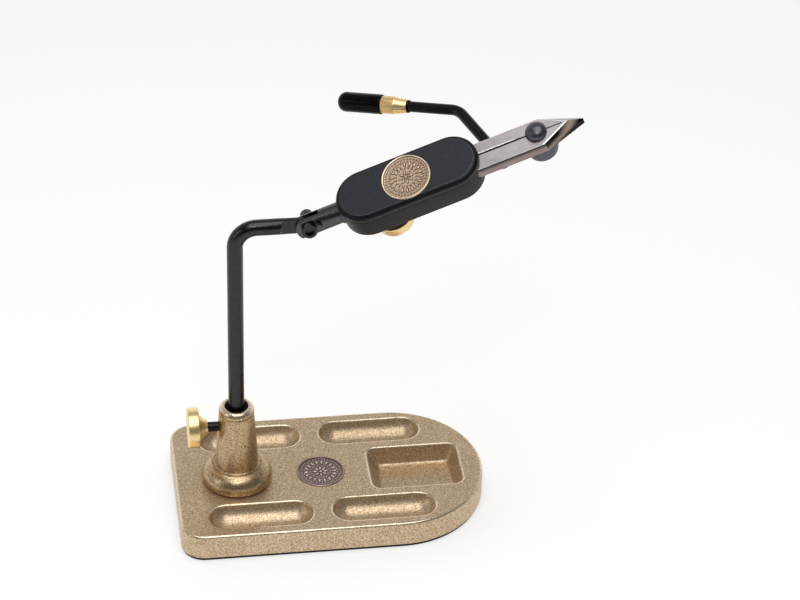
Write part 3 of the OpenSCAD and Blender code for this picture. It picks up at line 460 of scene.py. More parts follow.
def along_slope(tree, place, slope, start, low, high, ends):
    """A mixing amount that follows a slope, given per millimetre in one of the frames."""
    turned = place.to_3x3() @ Vector(slope)
    where = wire(tree, "ShaderNodeTexCoord", (-1500, -300))
    dot = wire(tree, "ShaderNodeVectorMath", (-1300, -300), operation="DOT_PRODUCT")
    dot.inputs[1].default_value = turned / MM
    tree.links.new(where.outputs["Object"], dot.inputs[0])
    shift = wire(tree, "ShaderNodeMath", (-1100, -300), operation="ADD")
    shift.inputs[1].default_value = Vector(slope).dot(place.inverted() @ Vector((0, 0, 0))) - start
    tree.links.new(dot.outputs["Value"], shift.inputs[0])
    away = wire(tree, "ShaderNodeMath", (-900, -300), operation="ABSOLUTE")
    tree.links.new(shift.outputs[0], away.inputs[0])
    return spread(tree, away.outputs[0], low, high, (-700, -300), *ends)


def shaded(material, amount, tint):
    """Mixes a colour over the finished colour of a material; here it paints shade or a highlight.
    """
    tree = material.node_tree
    shader = tree.nodes["Principled BSDF"]
    under = shader.inputs["Base Color"].links[0].from_socket
    tree.links.new(blend_colours(tree, amount, under, tint, (-150, 250)),
                   shader.inputs["Base Color"])


JAW_KNEE = 144.1
JAW_TAPER = JAW_TIP - JAW_KNEE
JAW_DEEP = 7.9
JAW_HALF = 3.7
JAW_STEEL = grained("satin jaw steel", (0.11, 0.10, 0.103), (0.55, 0.505, 0.515), 0.9, 0.36,
                    along_mm=2.0, across_mm=0.6)
# Polished chamfers, their near-white colour a painted highlight.
JAW_EDGE_HIGHLIGHT = grained("polished jaw edge with painted highlight", (0.80, 0.78, 0.77), (0.96, 0.94, 0.92), 0.35, 0.25, 0.05)
# Painted shade: the split's chamfer, the faces towards the split and the tip ends are black.
JAW_SPLIT_SHADE = dark_coat("split painted black as shade", (0.001, 0.001, 0.001), (0.006, 0.005, 0.005), 0.0, 0.4, 0.6, 0.1,
                    specular=0.1)
# Jaw sides: duller ground steel, painted darker as shade, darkest towards the face.
JAW_SIDE_SHADED = grained("dull jaw side with painted shade", (0.13, 0.093, 0.088), (0.38, 0.305, 0.28), 0.9, 0.42,
                   along_mm=2.5, across_mm=0.5)
shaded(JAW_SIDE_SHADED,
       along_slope(JAW_SIDE_SHADED.node_tree, ON_SPLIT, (0, 0, -1), -JAW_HALF, 1.0, 0.0, (0.8, 4.2)),
       (0.006, 0.004, 0.004))
# Painted reflection: the bevel is painted almost black, with a painted highlight streak across it.
JAW_BEVEL_PAINTED_SHINE = grained("bevel with painted dark reflection and highlight", (0.003, 0.002, 0.001), (0.010, 0.007, 0.005), 0.2, 0.3,
                    0.05, specular=0.08)
shaded(JAW_BEVEL_PAINTED_SHINE,
       along_slope(JAW_BEVEL_PAINTED_SHINE.node_tree, ON_SPLIT, (1 / JAW_TAPER, 0, -1 / JAW_DEEP),
                   0.9 + JAW_KNEE / JAW_TAPER - JAW_HALF / JAW_DEEP, 1.0, 0.0, (0.04, 0.42)),
       (0.50, 0.39, 0.32))
BRIGHT_STEEL = grained("bright steel", (0.45, 0.45, 0.46), (0.68, 0.68, 0.69), 0.95, 0.25)
BRASS = grained("polished brass", (0.92, 0.60, 0.22), (1.0, 0.79, 0.42), 0.88, 0.31, 0.08)
SATIN_BRASS = dark_coat("granular brass", (0.56, 0.36, 0.12), (1.0, 0.74, 0.36), 0.85, 0.38,
                        0.5, 0.9)
BADGE_RIM = dark_coat("badge rim bronze", (0.82, 0.66, 0.45), (1.0, 0.86, 0.64), 0.7, 0.30,
                      0.8, 0.2)
BADGE_FIELD = dark_coat("badge field bronze", (0.42, 0.28, 0.19), (0.78, 0.58, 0.42), 0.65, 0.42,
                        1.3, 0.5)
BADGE_RELIEF = dark_coat("badge relief bronze", (0.52, 0.37, 0.26), (0.86, 0.68, 0.50), 0.75, 0.34,
                         0.8, 0.3)
BADGE_LINE = dark_coat("badge patina brown", (0.035, 0.018, 0.012), (0.11, 0.06, 0.045), 0.4, 0.5,
                       0.8, 0.3)
COPPER_FIELD = dark_coat("badge field copper", (0.16, 0.10, 0.09), (0.44, 0.30, 0.27), 0.7, 0.40,
                         1.0, 0.5)
COPPER_RELIEF = dark_coat("badge relief copper", (0.60, 0.46, 0.42), (0.95, 0.80, 0.72), 0.75, 0.32,
                          0.8, 0.2)
COPPER_LINE = dark_coat("badge patina purple", (0.03, 0.014, 0.014), (0.09, 0.05, 0.05), 0.4, 0.5,
                        0.8, 0.3)
COPPER_RIM = dark_coat("badge rim copper", (0.24, 0.165, 0.15), (0.52, 0.38, 0.34), 0.8, 0.34,
                       0.8, 0.2)
print("finishes:", len(bpy.data.materials))

# %% [markdown]
# ## The base casting
# The base is a thick plate, square at the post and round at the other end, with four troughs, a
# tray and a round seat for a badge. A casting has soft rims everywhere, so each pocket is a stack
# of closed loops that starts flat, rolls over its rim and goes down its wall. The flat top between
# the pockets is filled by a triangulation that keeps all these loops as its borders.

# %% Sizes of the base
BASE_TOP = 18.0
BASE_BOTTOM = 1.9
BASE_W = 110.3
BASE_L = 187.6
BACK_X = -37.5
CORNER_R = 14.0
EDGE_R = 1.6
ROUND_X = BACK_X + BASE_L - BASE_W / 2
BADGE_X = 51
BASE_SEAT_R = 14.6
SEAT_DEPTH = 1.4
BOTTOM_CHAMFER = 0.4


def arc_points(cx, cy, radius, start, end, steps):
    return [(cx + radius * math.cos(math.radians(start + (end - start) * k / steps)),
             cy + radius * math.sin(math.radians(start + (end - start) * k / steps)))
            for k in range(steps + 1)]


def base_loop(inset, z):
    """The base's own outline, drawn in from its edge."""
    wide = BASE_W / 2
    flat = (arc_points(ROUND_X, 0, wide - inset, -90, 90, 96)
            + arc_points(BACK_X + CORNER_R, wide - CORNER_R, CORNER_R - inset, 90, 180, 24)
            + arc_points(BACK_X + CORNER_R, CORNER_R - wide, CORNER_R - inset, 180, 270, 24))
    return [(x, y, z) for x, y in flat]


def stadium_loop(cx, cy, half, radius, z, steps=28):
    flat = (arc_points(cx + half, cy, radius, -90, 90, steps)
            + arc_points(cx - half, cy, radius, 90, 270, steps))
    return [(x, y, z) for x, y in flat]


def corner_loop(x0, x1, y1, radius, z, steps=10):
    flat = (arc_points(x1 - radius, y1 - radius, radius, 0, 90, steps)
            + arc_points(x0 + radius, y1 - radius, radius, 90, 180, steps)
            + arc_points(x0 + radius, radius - y1, radius, 180, 270, steps)
            + arc_points(x1 - radius, radius - y1, radius, 270, 360, steps))
    return [(x, y, z) for x, y in flat]


# %% Stacking loops and filling flats
def stack(bm, loops, close_first=False, close_last=False, finish_of=None):
    """Joins loops of the same number of points with quads; the end loops can be closed."""
    rings = [[bm.verts.new(p) for p in loop] for loop in loops]
    for number, (low, high) in enumerate(zip(rings, rings[1:])):
        for k in range(len(low)):
            n = (k + 1) % len(low)
            face = bm.faces.new((low[k], low[n], high[n], high[k]))
            if finish_of:
                face.material_index = finish_of(number)
    if close_first:
        bm.faces.new(rings[0])
    if close_last:
        bm.faces.new(rings[-1])


def inside(point, loop):
    """Whether a point lies inside a closed loop, by counting crossings."""
    x, y = point
    odd = False
    for a, b in zip(loop, loop[1:] + loop[:1]):
        if (a[1] > y) != (b[1] > y) and x < (b[0] - a[0]) * (y - a[1]) / (b[1] - a[1]) + a[0]:
            odd = not odd
    return odd


def fill_flat(bm, border, holes, z):
    """Fills the flat between a border loop and hole loops, all at one height."""
    points = []
    edges = []
    for loop in [border] + holes:
        first = len(points)
        unique = [p for k, p in enumerate(loop) if math.dist(p, loop[k - 1]) > 1e-5]
        points += [Vector(p[:2]) for p in unique]
        edges += [(first + k, first + (k + 1) % len(unique)) for k in range(len(unique))]
    result = geometry.delaunay_2d_cdt(points, edges, [], 0, 1e-6)
    corners = [bm.verts.new((p.x, p.y, z)) for p in result[0]]
    kept = 0
    for triangle in result[2]:
        middle = sum((result[0][i] for i in triangle), Vector((0, 0))) / 3
        if inside(middle, border) and not any(inside(middle, hole) for hole in holes):
            bm.faces.new([corners[i] for i in triangle])
            kept += 1
    return kept


# %% The troughs' own shape
TROUGH_W = 21.6
TROUGH_L = 62
TROUGH_D = 9.0
TROUGH_R = ((TROUGH_W / 2) ** 2 + TROUGH_D ** 2) / (2 * TROUGH_D)
TROUGH_RISE = TROUGH_R - TROUGH_D
TROUGH_HALF = TROUGH_L / 2 - TROUGH_W / 2
RIM_R = 1.7
RIM_OUT = math.sqrt((TROUGH_R + RIM_R) ** 2 - (TROUGH_RISE + RIM_R) ** 2)
FLAT_BORDER = 0.35
TROUGH_X = (11.1, 85.2)
TROUGH_Y = (-37.2, 37.2)


def trough_profile():
    """(half width, height) from the flat top over the rim and down to the middle line."""
    points = [(RIM_OUT + FLAT_BORDER, 0), (RIM_OUT, 0)]
    meet = math.degrees(math.atan2(TROUGH_RISE + RIM_R, RIM_OUT))
    points += arc_points(RIM_OUT, -RIM_R, RIM_R, 90, 180 - meet, 8)[1:]
    points += arc_points(0, TROUGH_RISE, TROUGH_R, -meet, -90, 16)[1:]
    return points


def trough_loops(cx, cy):
    return [stadium_loop(cx, cy, TROUGH_HALF, max(half, 0), BASE_TOP + z)
            for half, z in trough_profile()]


# %% The tray's loops, with a wall of its own slope on each side
TRAY_X = 108.7
TRAY_HALF_L = 28
TRAY_HALF_W = 19.5
TRAY_CORNER = 6
TRAY_DEPTH = 11.5
SLOPE_NEAR, SLOPE_FAR, SLOPE_SIDES = 6.8, 4.8, 3.5
TRAY_RIM_OUT, TRAY_RIM_DEEP = 1.3, 1.4
TRAY_WALL_DEEP, TRAY_FLOOR_IN = 9.2, 2.3
LEAST_CORNER = 1.0


def bezier(a, b, c, steps):
    return [tuple((1 - t) ** 2 * p + 2 * t * (1 - t) * q + t * t * r for p, q, r in zip(a, b, c))
            for t in (k / steps for k in range(steps + 1))]


def tray_loops():
    """The loops roll over the rim, run down the walls and turn into the floor."""
    rows = [(TRAY_RIM_OUT + FLAT_BORDER, 0, 0)]
    rows += bezier((TRAY_RIM_OUT, 0, 0), (0, 0, 0),
                   (0, TRAY_RIM_DEEP / TRAY_DEPTH, -TRAY_RIM_DEEP), 8)
    rows += bezier((0, TRAY_WALL_DEEP / TRAY_DEPTH, -TRAY_WALL_DEEP), (0, 1, -TRAY_DEPTH),
                   (-TRAY_FLOOR_IN, 1, -TRAY_DEPTH), 8)
    loops = []
    for out, down, z in rows:
        loops.append(corner_loop(TRAY_X - TRAY_HALF_L - out + SLOPE_NEAR * down,
                                 TRAY_X + TRAY_HALF_L + out - SLOPE_FAR * down,
                                 TRAY_HALF_W + out - SLOPE_SIDES * down,
                                 max(LEAST_CORNER, TRAY_CORNER + out - SLOPE_SIDES * down),
                                 BASE_TOP + z))
    return loops


# %% Putting the base together
def rim_rows(row):
    """The first rows of a rim, painted pale, partly as rubbed wear and partly as a painted
    highlight.
    """
    return 1 if 1 <= row <= 4 else 0


def base_casting():
    bm = bmesh.new()
    holes = []
    for cx in TROUGH_X:
        for cy in TROUGH_Y:
            loops = trough_loops(cx, cy)
            stack(bm, loops, finish_of=rim_rows)
            holes.append(loops[0])
    loops = tray_loops()
    stack(bm, loops, close_last=True, finish_of=rim_rows)
    holes.append(loops[0])
    seat = [(0.7, 0), (0.35, 0), (0.1, -0.1), (0, -0.35), (0, -SEAT_DEPTH)]
    loops = [stadium_loop(BADGE_X, 0, 0, BASE_SEAT_R + out, BASE_TOP + z) for out, z in seat]
    stack(bm, loops, close_last=True)
    holes.append(loops[0])
    edge = arc_points(EDGE_R, -EDGE_R, EDGE_R, 90, 180, 7)
    outside = [base_loop(EDGE_R + FLAT_BORDER, BASE_TOP)]
    outside += [base_loop(x, BASE_TOP + z) for x, z in edge]
    outside += [base_loop(0, BASE_BOTTOM + BOTTOM_CHAMFER), base_loop(BOTTOM_CHAMFER, BASE_BOTTOM)]
    stack(bm, outside, close_last=True, finish_of=rim_rows)
    print("triangles in the top:", fill_flat(bm, outside[0], holes, BASE_TOP))
    return made("base_casting", bm, ON_PART, [CAST_BRONZE, RIM_WEAR_AND_HIGHLIGHT])


placed(base_casting(), "base", "cast_bronze", "base")

# %% [markdown]
# ## The post
# The post is turned or cast as one round piece: a bell foot, a slim cone and a rolled lip round its
# mouth. The outline follows the solid's, with finer steps, and the small creases over the foot and
# under the lip are kept because they draw the two dark rings that the eye expects. The hole for
# the clamp screw is cut with a boolean, which is simpler than leaving it out of the outline.

# %% The post's outline
def post_outline():
    """From the underside up the outside, over the lip, and down the bush's seat and the bore."""
    foot_r, belly, foot_h, cone_r = 21.3, 2.8, 12.3, 13.3
    under_r, foot_round = 19.6, 2.3
    lip_r, lip_half, lip_z, lip_h = 8.05, 2.68, 50.8, 3.9
    seat_r, seat_z, bore_r, bore_z = 7.15, 44.7, 4.8, 8.0
    top = lip_z + lip_h
    curve = ((foot_h - belly) ** 2 + (foot_r - cone_r) ** 2) / (2 * (foot_r - cone_r))
    points = [(0, 0), (under_r, 0)]
    points += [(foot_r - foot_round + foot_round * math.cos(a), belly + belly * math.sin(a))
               for a in (math.radians(-85 + 85 * k / 8) for k in range(9))]
    points += arc_points(foot_r - curve, belly, curve, 0, 70, 24)[1:]
    points += rounded([(15.0, 12.15), (14.35, 11.75, 0.2), (14.0, 12.45, 0.35),
                       (13.45, 12.75, 0.35), (12.75, 12.2, 0.3), (13.0, 13.6, 0.5), (10.62, 49.9)])
    points += rounded([(10.58, 50.0), (10.0, 50.45, 0.2), (10.72, 51.0)])
    points += [(lip_r + lip_half * math.cos(a), lip_z + lip_h * math.sin(a))
               for a in (math.radians(8 + 82 * k / 14) for k in range(15))]
    points += rounded([(7.8, top), (seat_r, top, 0.35), (seat_r, seat_z)])
    points += [(bore_r, seat_z), (bore_r, bore_z), (0, bore_z)]
    return points


# %% Cutting a hole
def drilled(piece, cutter):
    """Cuts a hole with a second mesh, which is thrown away."""
    cut = piece.modifiers.new("hole", "BOOLEAN")
    cut.object = cutter
    cut.solver = "EXACT"
    graph = bpy.context.evaluated_depsgraph_get()
    mesh = bpy.data.meshes.new_from_object(piece.evaluated_get(graph))
    piece.modifiers.clear()
    piece.data = mesh
    bpy.data.objects.remove(cutter)
    return piece


# %% The post with its pale lip, worn and painted as a highlight, and its hole
# The lip's top outside is painted pale, partly as wear and partly as a painted highlight.
PALE_LIP_ABOVE = 53.0
PALE_LIP_OUTSIDE = 7.0
outline = post_outline()
lip = [n for n, (radius, height) in enumerate(outline)
       if height > PALE_LIP_ABOVE and radius > PALE_LIP_OUTSIDE]
post = spun("post_casting", outline, Matrix.Translation((0, 0, BASE_TOP)),
            [POST_BRONZE_SHADED, RIM_WEAR_AND_HIGHLIGHT], 128, finish_of=lambda row: 1 if row in lip else 0)
CLAMP_Z = 57.9
CLAMP_AXIS = along(ON_PART, (0, 0, CLAMP_Z), (-1, 0, 0))
HOLE_R = 3.3
HOLE_FROM, HOLE_TO = 6, 24
hole = spun("clamp_hole", [(0, HOLE_FROM), (HOLE_R, HOLE_FROM), (HOLE_R, HOLE_TO), (0, HOLE_TO)],
            CLAMP_AXIS, [], 48)
placed(drilled(post, hole), "base", "post_bronze", "post")

# %% [markdown]
# ## Turned fittings
# Knobs, the dome bolt, the cap nut, the ferrule and the grip all come off a lathe, so each is one
# outline. The thumb knobs flare from a slim hub into a thick disc with a dished face.

# %% Thumb knobs
KNOB_THICK = 6.9
HUB_LONG = 5.1
DISH_DEEP = 0.8
CLAMP_REACH, CLAMP_KNOB_D = 29.4, 24.5
TENSION_REACH, TENSION_KNOB_D = 27.9, 23.4


def knob_outline(reach, diameter):
    """From the dished face, reach away from the axis of the post or head, back to the hub."""
    wide = diameter / 2
    inner = reach - KNOB_THICK
    return rounded([
        (0, reach - DISH_DEEP), (3.2, reach - DISH_DEEP, 0.3), (4.3, reach, 0.4),
        (wide, reach, 0.7), (wide, inner, 0.8), (8.6, inner, 0.5), (7.2, inner - 1.0, 1.5),
        (4.9, inner - 3.6, 2.5), (4.3, inner - HUB_LONG, 0.4), (0, inner - HUB_LONG)], 6)


TENSION_S = 45.9
TENSION_AXIS = along(ON_HEAD, (TENSION_S, 0, 0), (0, 0, -1))
placed(spun("clamp_thumb_knob", knob_outline(CLAMP_REACH, CLAMP_KNOB_D), CLAMP_AXIS, [BRASS], 128),
       "clamp_screw", "brass", "clamp_knob")
placed(spun("tension_thumb_knob", knob_outline(TENSION_REACH, TENSION_KNOB_D), TENSION_AXIS,
            [BRASS], 128),
       "tension_screw", "brass", "tension_knob")

# %% Dome bolt and cap nut through the jaws
JAW_FRONT = 3.72
JAW_BACK = -4.22
GAP = 0.1
DOME_R, DOME_H = 6.3, 4.4
CAP_R, CAP_H = 9.3, 11.8
GUIDE_S = 141.1
GUIDE = ON_SPLIT @ Matrix.Translation((GUIDE_S, 0, 0))
dome = rounded([(0, JAW_FRONT + GAP), (DOME_R, JAW_FRONT + GAP, 0.15), (DOME_R, JAW_FRONT + 0.75)])
dome += [(DOME_R * math.cos(a), JAW_FRONT + 0.7 + DOME_H * math.sin(a))
         for a in (math.radians(90 * k / 20) for k in range(1, 21))]
placed(spun("dome_bolt_head", dome, GUIDE, [GUNMETAL]), "jaw_lower", "dark_steel")
cap = rounded([(0, 0), (CAP_R, 0, 0.5), (CAP_R, CAP_H, 4.0), (0, CAP_H)], 12)
cap = [(radius, JAW_BACK - GAP - height) for radius, height in cap]
placed(spun("cap_nut", cap, GUIDE, [GUNMETAL]), "jaw_lower", "dark_steel", "guide_nut")

# %% The two legs of the lever's rod
LEVER_S = 116.7
HUB_GAP = 0.5
HUB_HALF = 3.9
ROD_T = JAW_BACK - HUB_GAP - HUB_HALF
LOW_TURN = math.radians(108.4)
UP_TURN = math.radians(41.5)
LOW_L = 44.9
FERRULE_S = 31.7
FERRULE_L = 15.8
LOW_LEG = (ON_SPLIT @ Matrix.Translation((LEVER_S, 0, ROD_T))
           @ Matrix.Rotation(LOW_TURN, 4, "Z"))
UP_LEG = LOW_LEG @ Matrix.Translation((LOW_L, 0, 0)) @ Matrix.Rotation(UP_TURN, 4, "Z")

# %% Ferrule, seal and grip on the upper leg
TEXTURED_ROWS = range(15, 22)
FERRULE_AXIS = along(UP_LEG, (FERRULE_S, 0, 0), (1, 0, 0))
ferrule = rounded([(3.2, 0), (3.95, 0, 0.3), (5.0, 7.3, 0.4), (5.15, 7.7, 0.2),
                   (5.2, FERRULE_L, 0.3), (3.2, FERRULE_L)], 6)
placed(spun("ferrule_collar", ferrule, FERRULE_AXIS, [BRASS, SATIN_BRASS],
            finish_of=lambda row: 1 if row in TEXTURED_ROWS else 0),
       "lever", "brass", "lever_ferrule")
seal = rounded([(3.0, -1.4), (3.75, -1.4, 0.4), (3.85, -0.02, 0.2), (3.0, -0.02)], 4)
placed(spun("ferrule_seal", seal, FERRULE_AXIS, [GRIP_BLACK], 64), "lever", "rod_black")
GRIP_R, GRIP_L = 5.9, 27.6
GRIP_AXIS = along(UP_LEG, (FERRULE_S + FERRULE_L, 0, 0), (1, 0, 0))
grip = rounded([(3.2, 0), (GRIP_R, 0, 0.6), (GRIP_R, GRIP_L, 5.0), (0, GRIP_L)], 12)
placed(spun("lever_handle", grip, GRIP_AXIS, [GRIP_BLACK]), "lever", "grip_black", "lever_grip")

# %% [markdown]
# ## The lever's rod
# The rod is one bar with a smooth bend. Its rings are carried along the path, so that the bend
# keeps the bar's full thickness and its highlight runs on without a break.

# %% Sweeping a round bar along a path of straights and one bend
def bar(name, a, b, c, bend_r, radius, look, sides=40, steps=24):
    """A round bar from a towards b and on to c, with one bend in place of the corner at b."""
    back, ahead = (a - b).normalized(), (c - b).normalized()
    half = back.angle(ahead) / 2
    reach = bend_r / math.tan(half)
    centre = b + (back + ahead).normalized() * bend_r / math.sin(half)
    path = [a]
    first = b + back * reach - centre
    last = b + ahead * reach - centre
    path += [centre + bend_r * first.slerp(last, k / steps).normalized()
             for k in range(steps + 1)]
    path.append(c)
    normal = back.cross(ahead).normalized()
    rings = []
    for i, point in enumerate(path):
        before = path[max(i - 1, 0)]
        after = path[min(i + 1, len(path) - 1)]
        side = (after - before).normalized().cross(normal)
        rings.append([point + radius * (math.cos(2 * math.pi * k / sides) * side
                                        + math.sin(2 * math.pi * k / sides) * normal)
                      for k in range(sides)])
    bm = bmesh.new()
    stack(bm, rings, close_first=True, close_last=True)
    return made(name, bm, ON_PART, [look])


ROD_R = 3.175
BEND_R = 12.0
IN_HUB = 1.4
IN_FERRULE = 4.0
low_end = LOW_LEG @ Vector((IN_HUB, 0, 0))
corner = LOW_LEG @ Vector((LOW_L, 0, 0))
high_end = UP_LEG @ Vector((FERRULE_S + IN_FERRULE, 0, 0))
placed(bar("lever_bar", low_end, corner, high_end, BEND_R, ROD_R, ROD_BLACK), "lever",
       "rod_black", "lever_rod")

# %% [markdown]
# ## Steel and cast pieces with small roundings
# The stem, the fork, its screw and nut and the back of the head have the right shape as solids. On
# the real ones a file or a tumbler has taken the sharpness off, and nothing more is needed here.

# %% Solids that only need softer edges
for node, name, width, look, body, slot in (
        ("stem", "stem_rod", 0.15, BLACK_STEEL, "stem", "black_steel"),
        ("head_shaft", "fork_shaft", 0.25, SHAFT_BLACK_LIGHTENED, "head_shaft", "black_steel"),
        ("tilt_screw", "tilt_socket_screw", 0.2, BLACK_STEEL, "head_shaft", "black_steel"),
        ("tilt_nut", "tilt_dome_nut", 0.2, BLACK_STEEL, "head_shaft", "black_steel"),
        ("head_body", "head_casting_back", 0.2, CASTING_BLACK, "head", "head_casting")):
    placed(dressed(node, name, width, look), body, slot, node)

# %% [markdown]
# ## The jaws
# The jaws are ground from tool steel: satin faces, duller sides that are painted darker as shade,
# and a bevel down to the tip that is painted almost black as a dark reflection, with a painted
# highlight across it. The ground chamfers are thin and polished, and their near-white colour is a
# painted highlight; the chamfer along the split, the faces towards it and the tip ends are painted
# black as shade. Which way a face looks tells which finish it gets, and the chamfers are cut into
# the mesh itself, because a Bevel modifier gives all its edges one width.

# %% A chamfer of its own width
JAW_LOOKS = [JAW_STEEL, JAW_EDGE_HIGHLIGHT, JAW_SIDE_SHADED, JAW_BEVEL_PAINTED_SHINE, JAW_SPLIT_SHADE]
FACE, EDGE, SIDE, BEVEL, SPLIT = range(len(JAW_LOOKS))
AT_FRONT = JAW_FRONT - 0.1
STRAIGHT_TO = 140
NEAR_TIP = 158
NEAR_SPLIT = 0.6
LONG = 10
CHAMFER, CHAMFER_DEEP = 0.4, 0.14
SPLIT_CHAMFER, SPLIT_CHAMFER_DEEP = 0.95, 0.4
BRIGHT_LINE = 0.22


def chamfered(bm, edges, width, number, depth=None):
    """Cuts a chamfer; with a depth it is shallower below the face than it is wide."""
    cut = bmesh.ops.bevel(bm, geom=edges, offset=width, segments=1, profile=0.5, affect="EDGES",
                          material=number, clamp_overlap=False)
    for vertex in cut["verts"]:
        local = ON_SPLIT.inverted() @ vertex.co
        if depth and local.z < AT_FRONT and local.x < STRAIGHT_TO:
            local.z = JAW_FRONT - depth
            vertex.co = ON_SPLIT @ local
    return cut["faces"]


def settled(elements, place):
    """Sorts points or faces by place, because a bevel leaves them in another order each run."""
    for number, element in enumerate(sorted(elements, key=place)):
        element.index = number
    elements.sort()


# %% A jaw, with a finish for each direction that a face looks in
def ground_jaw(node, name, side):
    """Finishes for the faces and chamfers for the long front edges; side is 1 above the split."""
    bm = welded(node)
    head = ON_SPLIT.inverted()
    turn = head.to_3x3()
    for face in bm.faces:
        s, q, t = turn @ face.normal
        # Faces towards the split and the tip ends get the split's painted black shade.
        if s > 0.9 or q * side < -0.5:
            face.material_index = SPLIT
        elif s > 0.2 and q * side > 0.2:
            face.material_index = FACE if side > 0 and t > 0.5 else BEVEL
        elif abs(t) < 0.5:
            face.material_index = SIDE
    on_split, on_side, on_bevel = [], [], []
    for edge in bm.edges:
        ends = [head @ vertex.co for vertex in edge.verts]
        if all(end.z > AT_FRONT for end in ends) and abs(ends[0].x - ends[1].x) > LONG:
            if all(abs(end.y) < NEAR_SPLIT for end in ends):
                on_split.append(edge)
            else:
                (on_bevel if any(end.x > NEAR_TIP for end in ends) else on_side).append(edge)
    if side < 0:
        chamfered(bm, on_bevel + on_side, CHAMFER, EDGE, CHAMFER_DEEP)
    else:
        chamfered(bm, on_bevel, CHAMFER, EDGE)
        # The split's chamfer gets the painted black shade, its top edge the painted highlight.
        black = chamfered(bm, on_split, SPLIT_CHAMFER, SPLIT, SPLIT_CHAMFER_DEEP)
        tops = [edge for face in black for edge in face.edges
                if all((head @ vertex.co).z > AT_FRONT for vertex in edge.verts)
                and edge.calc_length() > LONG]
        chamfered(bm, tops, BRIGHT_LINE, EDGE)
    settled(bm.verts, lambda vertex: tuple(vertex.co))
    settled(bm.faces, lambda face: tuple(face.calc_center_median()))
    return made(name, bm, ON_PART, JAW_LOOKS, sharp=15)


placed(ground_jaw("jaw_upper", "upper_jaw", 1), "jaw_upper", "jaw_steel", "jaw_upper")
placed(ground_jaw("jaw_lower", "lower_jaw", -1), "jaw_lower", "jaw_steel", "jaw_lower")

# %% [markdown]
# ## The head's face
# The face plate is a round-ended lid. Its edge rolls over in a wide band painted black as a dark
# reflection, and a fine pale line painted as a highlight marks where the flat face starts. It is a
# stack of stadium loops with a flat top. The badge is wider than the flat, so its seat reaches into
# the rolled edge and is cut out of the closed plate with a boolean.

# %% Sizes and finishes of the face plate
HEAD_L = 86.3
HEAD_R = 33.1 / 2
HEAD_MID = 19.8 + HEAD_L / 2
HEAD_HALF = HEAD_L / 2 - HEAD_R
FACE_T = 8.9
PART_T = 3.9
ROLL_R = 2.25
ROLL_IN = 2.3
ROLL_TOP = FACE_T - 0.05
ROLL_STEPS = 10
LINE_STARTS = 0.55
LINE_ENDS = 0.22
BACK_CHAMFER = 0.3
FACE_SEAT_R = 14.65
SEAT_CHAMFER_DEEP = 0.35
SEAT_CHAMFER_WIDE = 0.75
SEAT_OVERRUN = 0.4
# Painted highlight: a pale line where the flat face meets its rolled edge.
FACE_EDGE_HIGHLIGHT = dark_coat("face edge painted highlight", (0.06, 0.06, 0.065), (0.12, 0.12, 0.13), 0.3, 0.4, 0.9, 0.3)
# Painted reflection: the rolled edge is painted darker than the face, for the dark it reflects.
FACE_ROLL_DARK_REFLECTION = dark_coat("rolled edge painted dark reflection", (0.003, 0.003, 0.004), (0.009, 0.009, 0.011), 0.0, 0.32,
                      0.9, 0.2, specular=0.16)


# %% The face plate
def face_rows(row):
    """The painted highlight line is row 1, the painted dark roll comes next, and the rest is plain.
    """
    return 1 if row == 1 else 2 if 1 < row < ROLL_STEPS + 2 else 0


def face_plate():
    bm = bmesh.new()
    rows = [(ROLL_IN + LINE_STARTS, FACE_T), (ROLL_IN + LINE_ENDS, FACE_T), (ROLL_IN, ROLL_TOP)]
    rows += [(ROLL_IN - x, ROLL_TOP - ROLL_R + z)
             for x, z in arc_points(0, 0, ROLL_R, 90, 0, ROLL_STEPS)[1:]]
    rows += [(0, PART_T + BACK_CHAMFER), (BACK_CHAMFER, PART_T)]
    loops = [stadium_loop(HEAD_MID, 0, HEAD_HALF, HEAD_R - inset, t, 40) for inset, t in rows]
    stack(bm, loops, close_last=True, finish_of=face_rows)
    fill_flat(bm, loops[0], [], FACE_T)
    plate = made("face_plate", bm, ON_HEAD, [FACE_BLACK, FACE_EDGE_HIGHLIGHT, FACE_ROLL_DARK_REFLECTION])
    # The seat's faces get the third finish, the rolled edge's painted dark reflection.
    seat = spun("badge_seat",
                [(0, -SEAT_DEPTH), (FACE_SEAT_R, -SEAT_DEPTH), (FACE_SEAT_R, -SEAT_CHAMFER_DEEP),
                 (FACE_SEAT_R + SEAT_CHAMFER_WIDE, SEAT_OVERRUN), (0, SEAT_OVERRUN)],
                ON_HEAD @ Matrix.Translation((HEAD_MID, 0, FACE_T)), [], 128,
                finish_of=lambda row: 2)
    drilled(plate, seat).data.set_sharp_from_angle(angle=math.radians(25))
    return plate


placed(face_plate(), "head", "face_black", "head_cover")

# %% [markdown]
# ## The badges
# Each badge is a shallow dish with a rolled rim. The relief on its field repeats round the centre:
# rings of beads, leaves and darts, and a small flower. A Geometry Nodes tree sets one shape out on
# a circle, and it is used with other sizes for each ring.

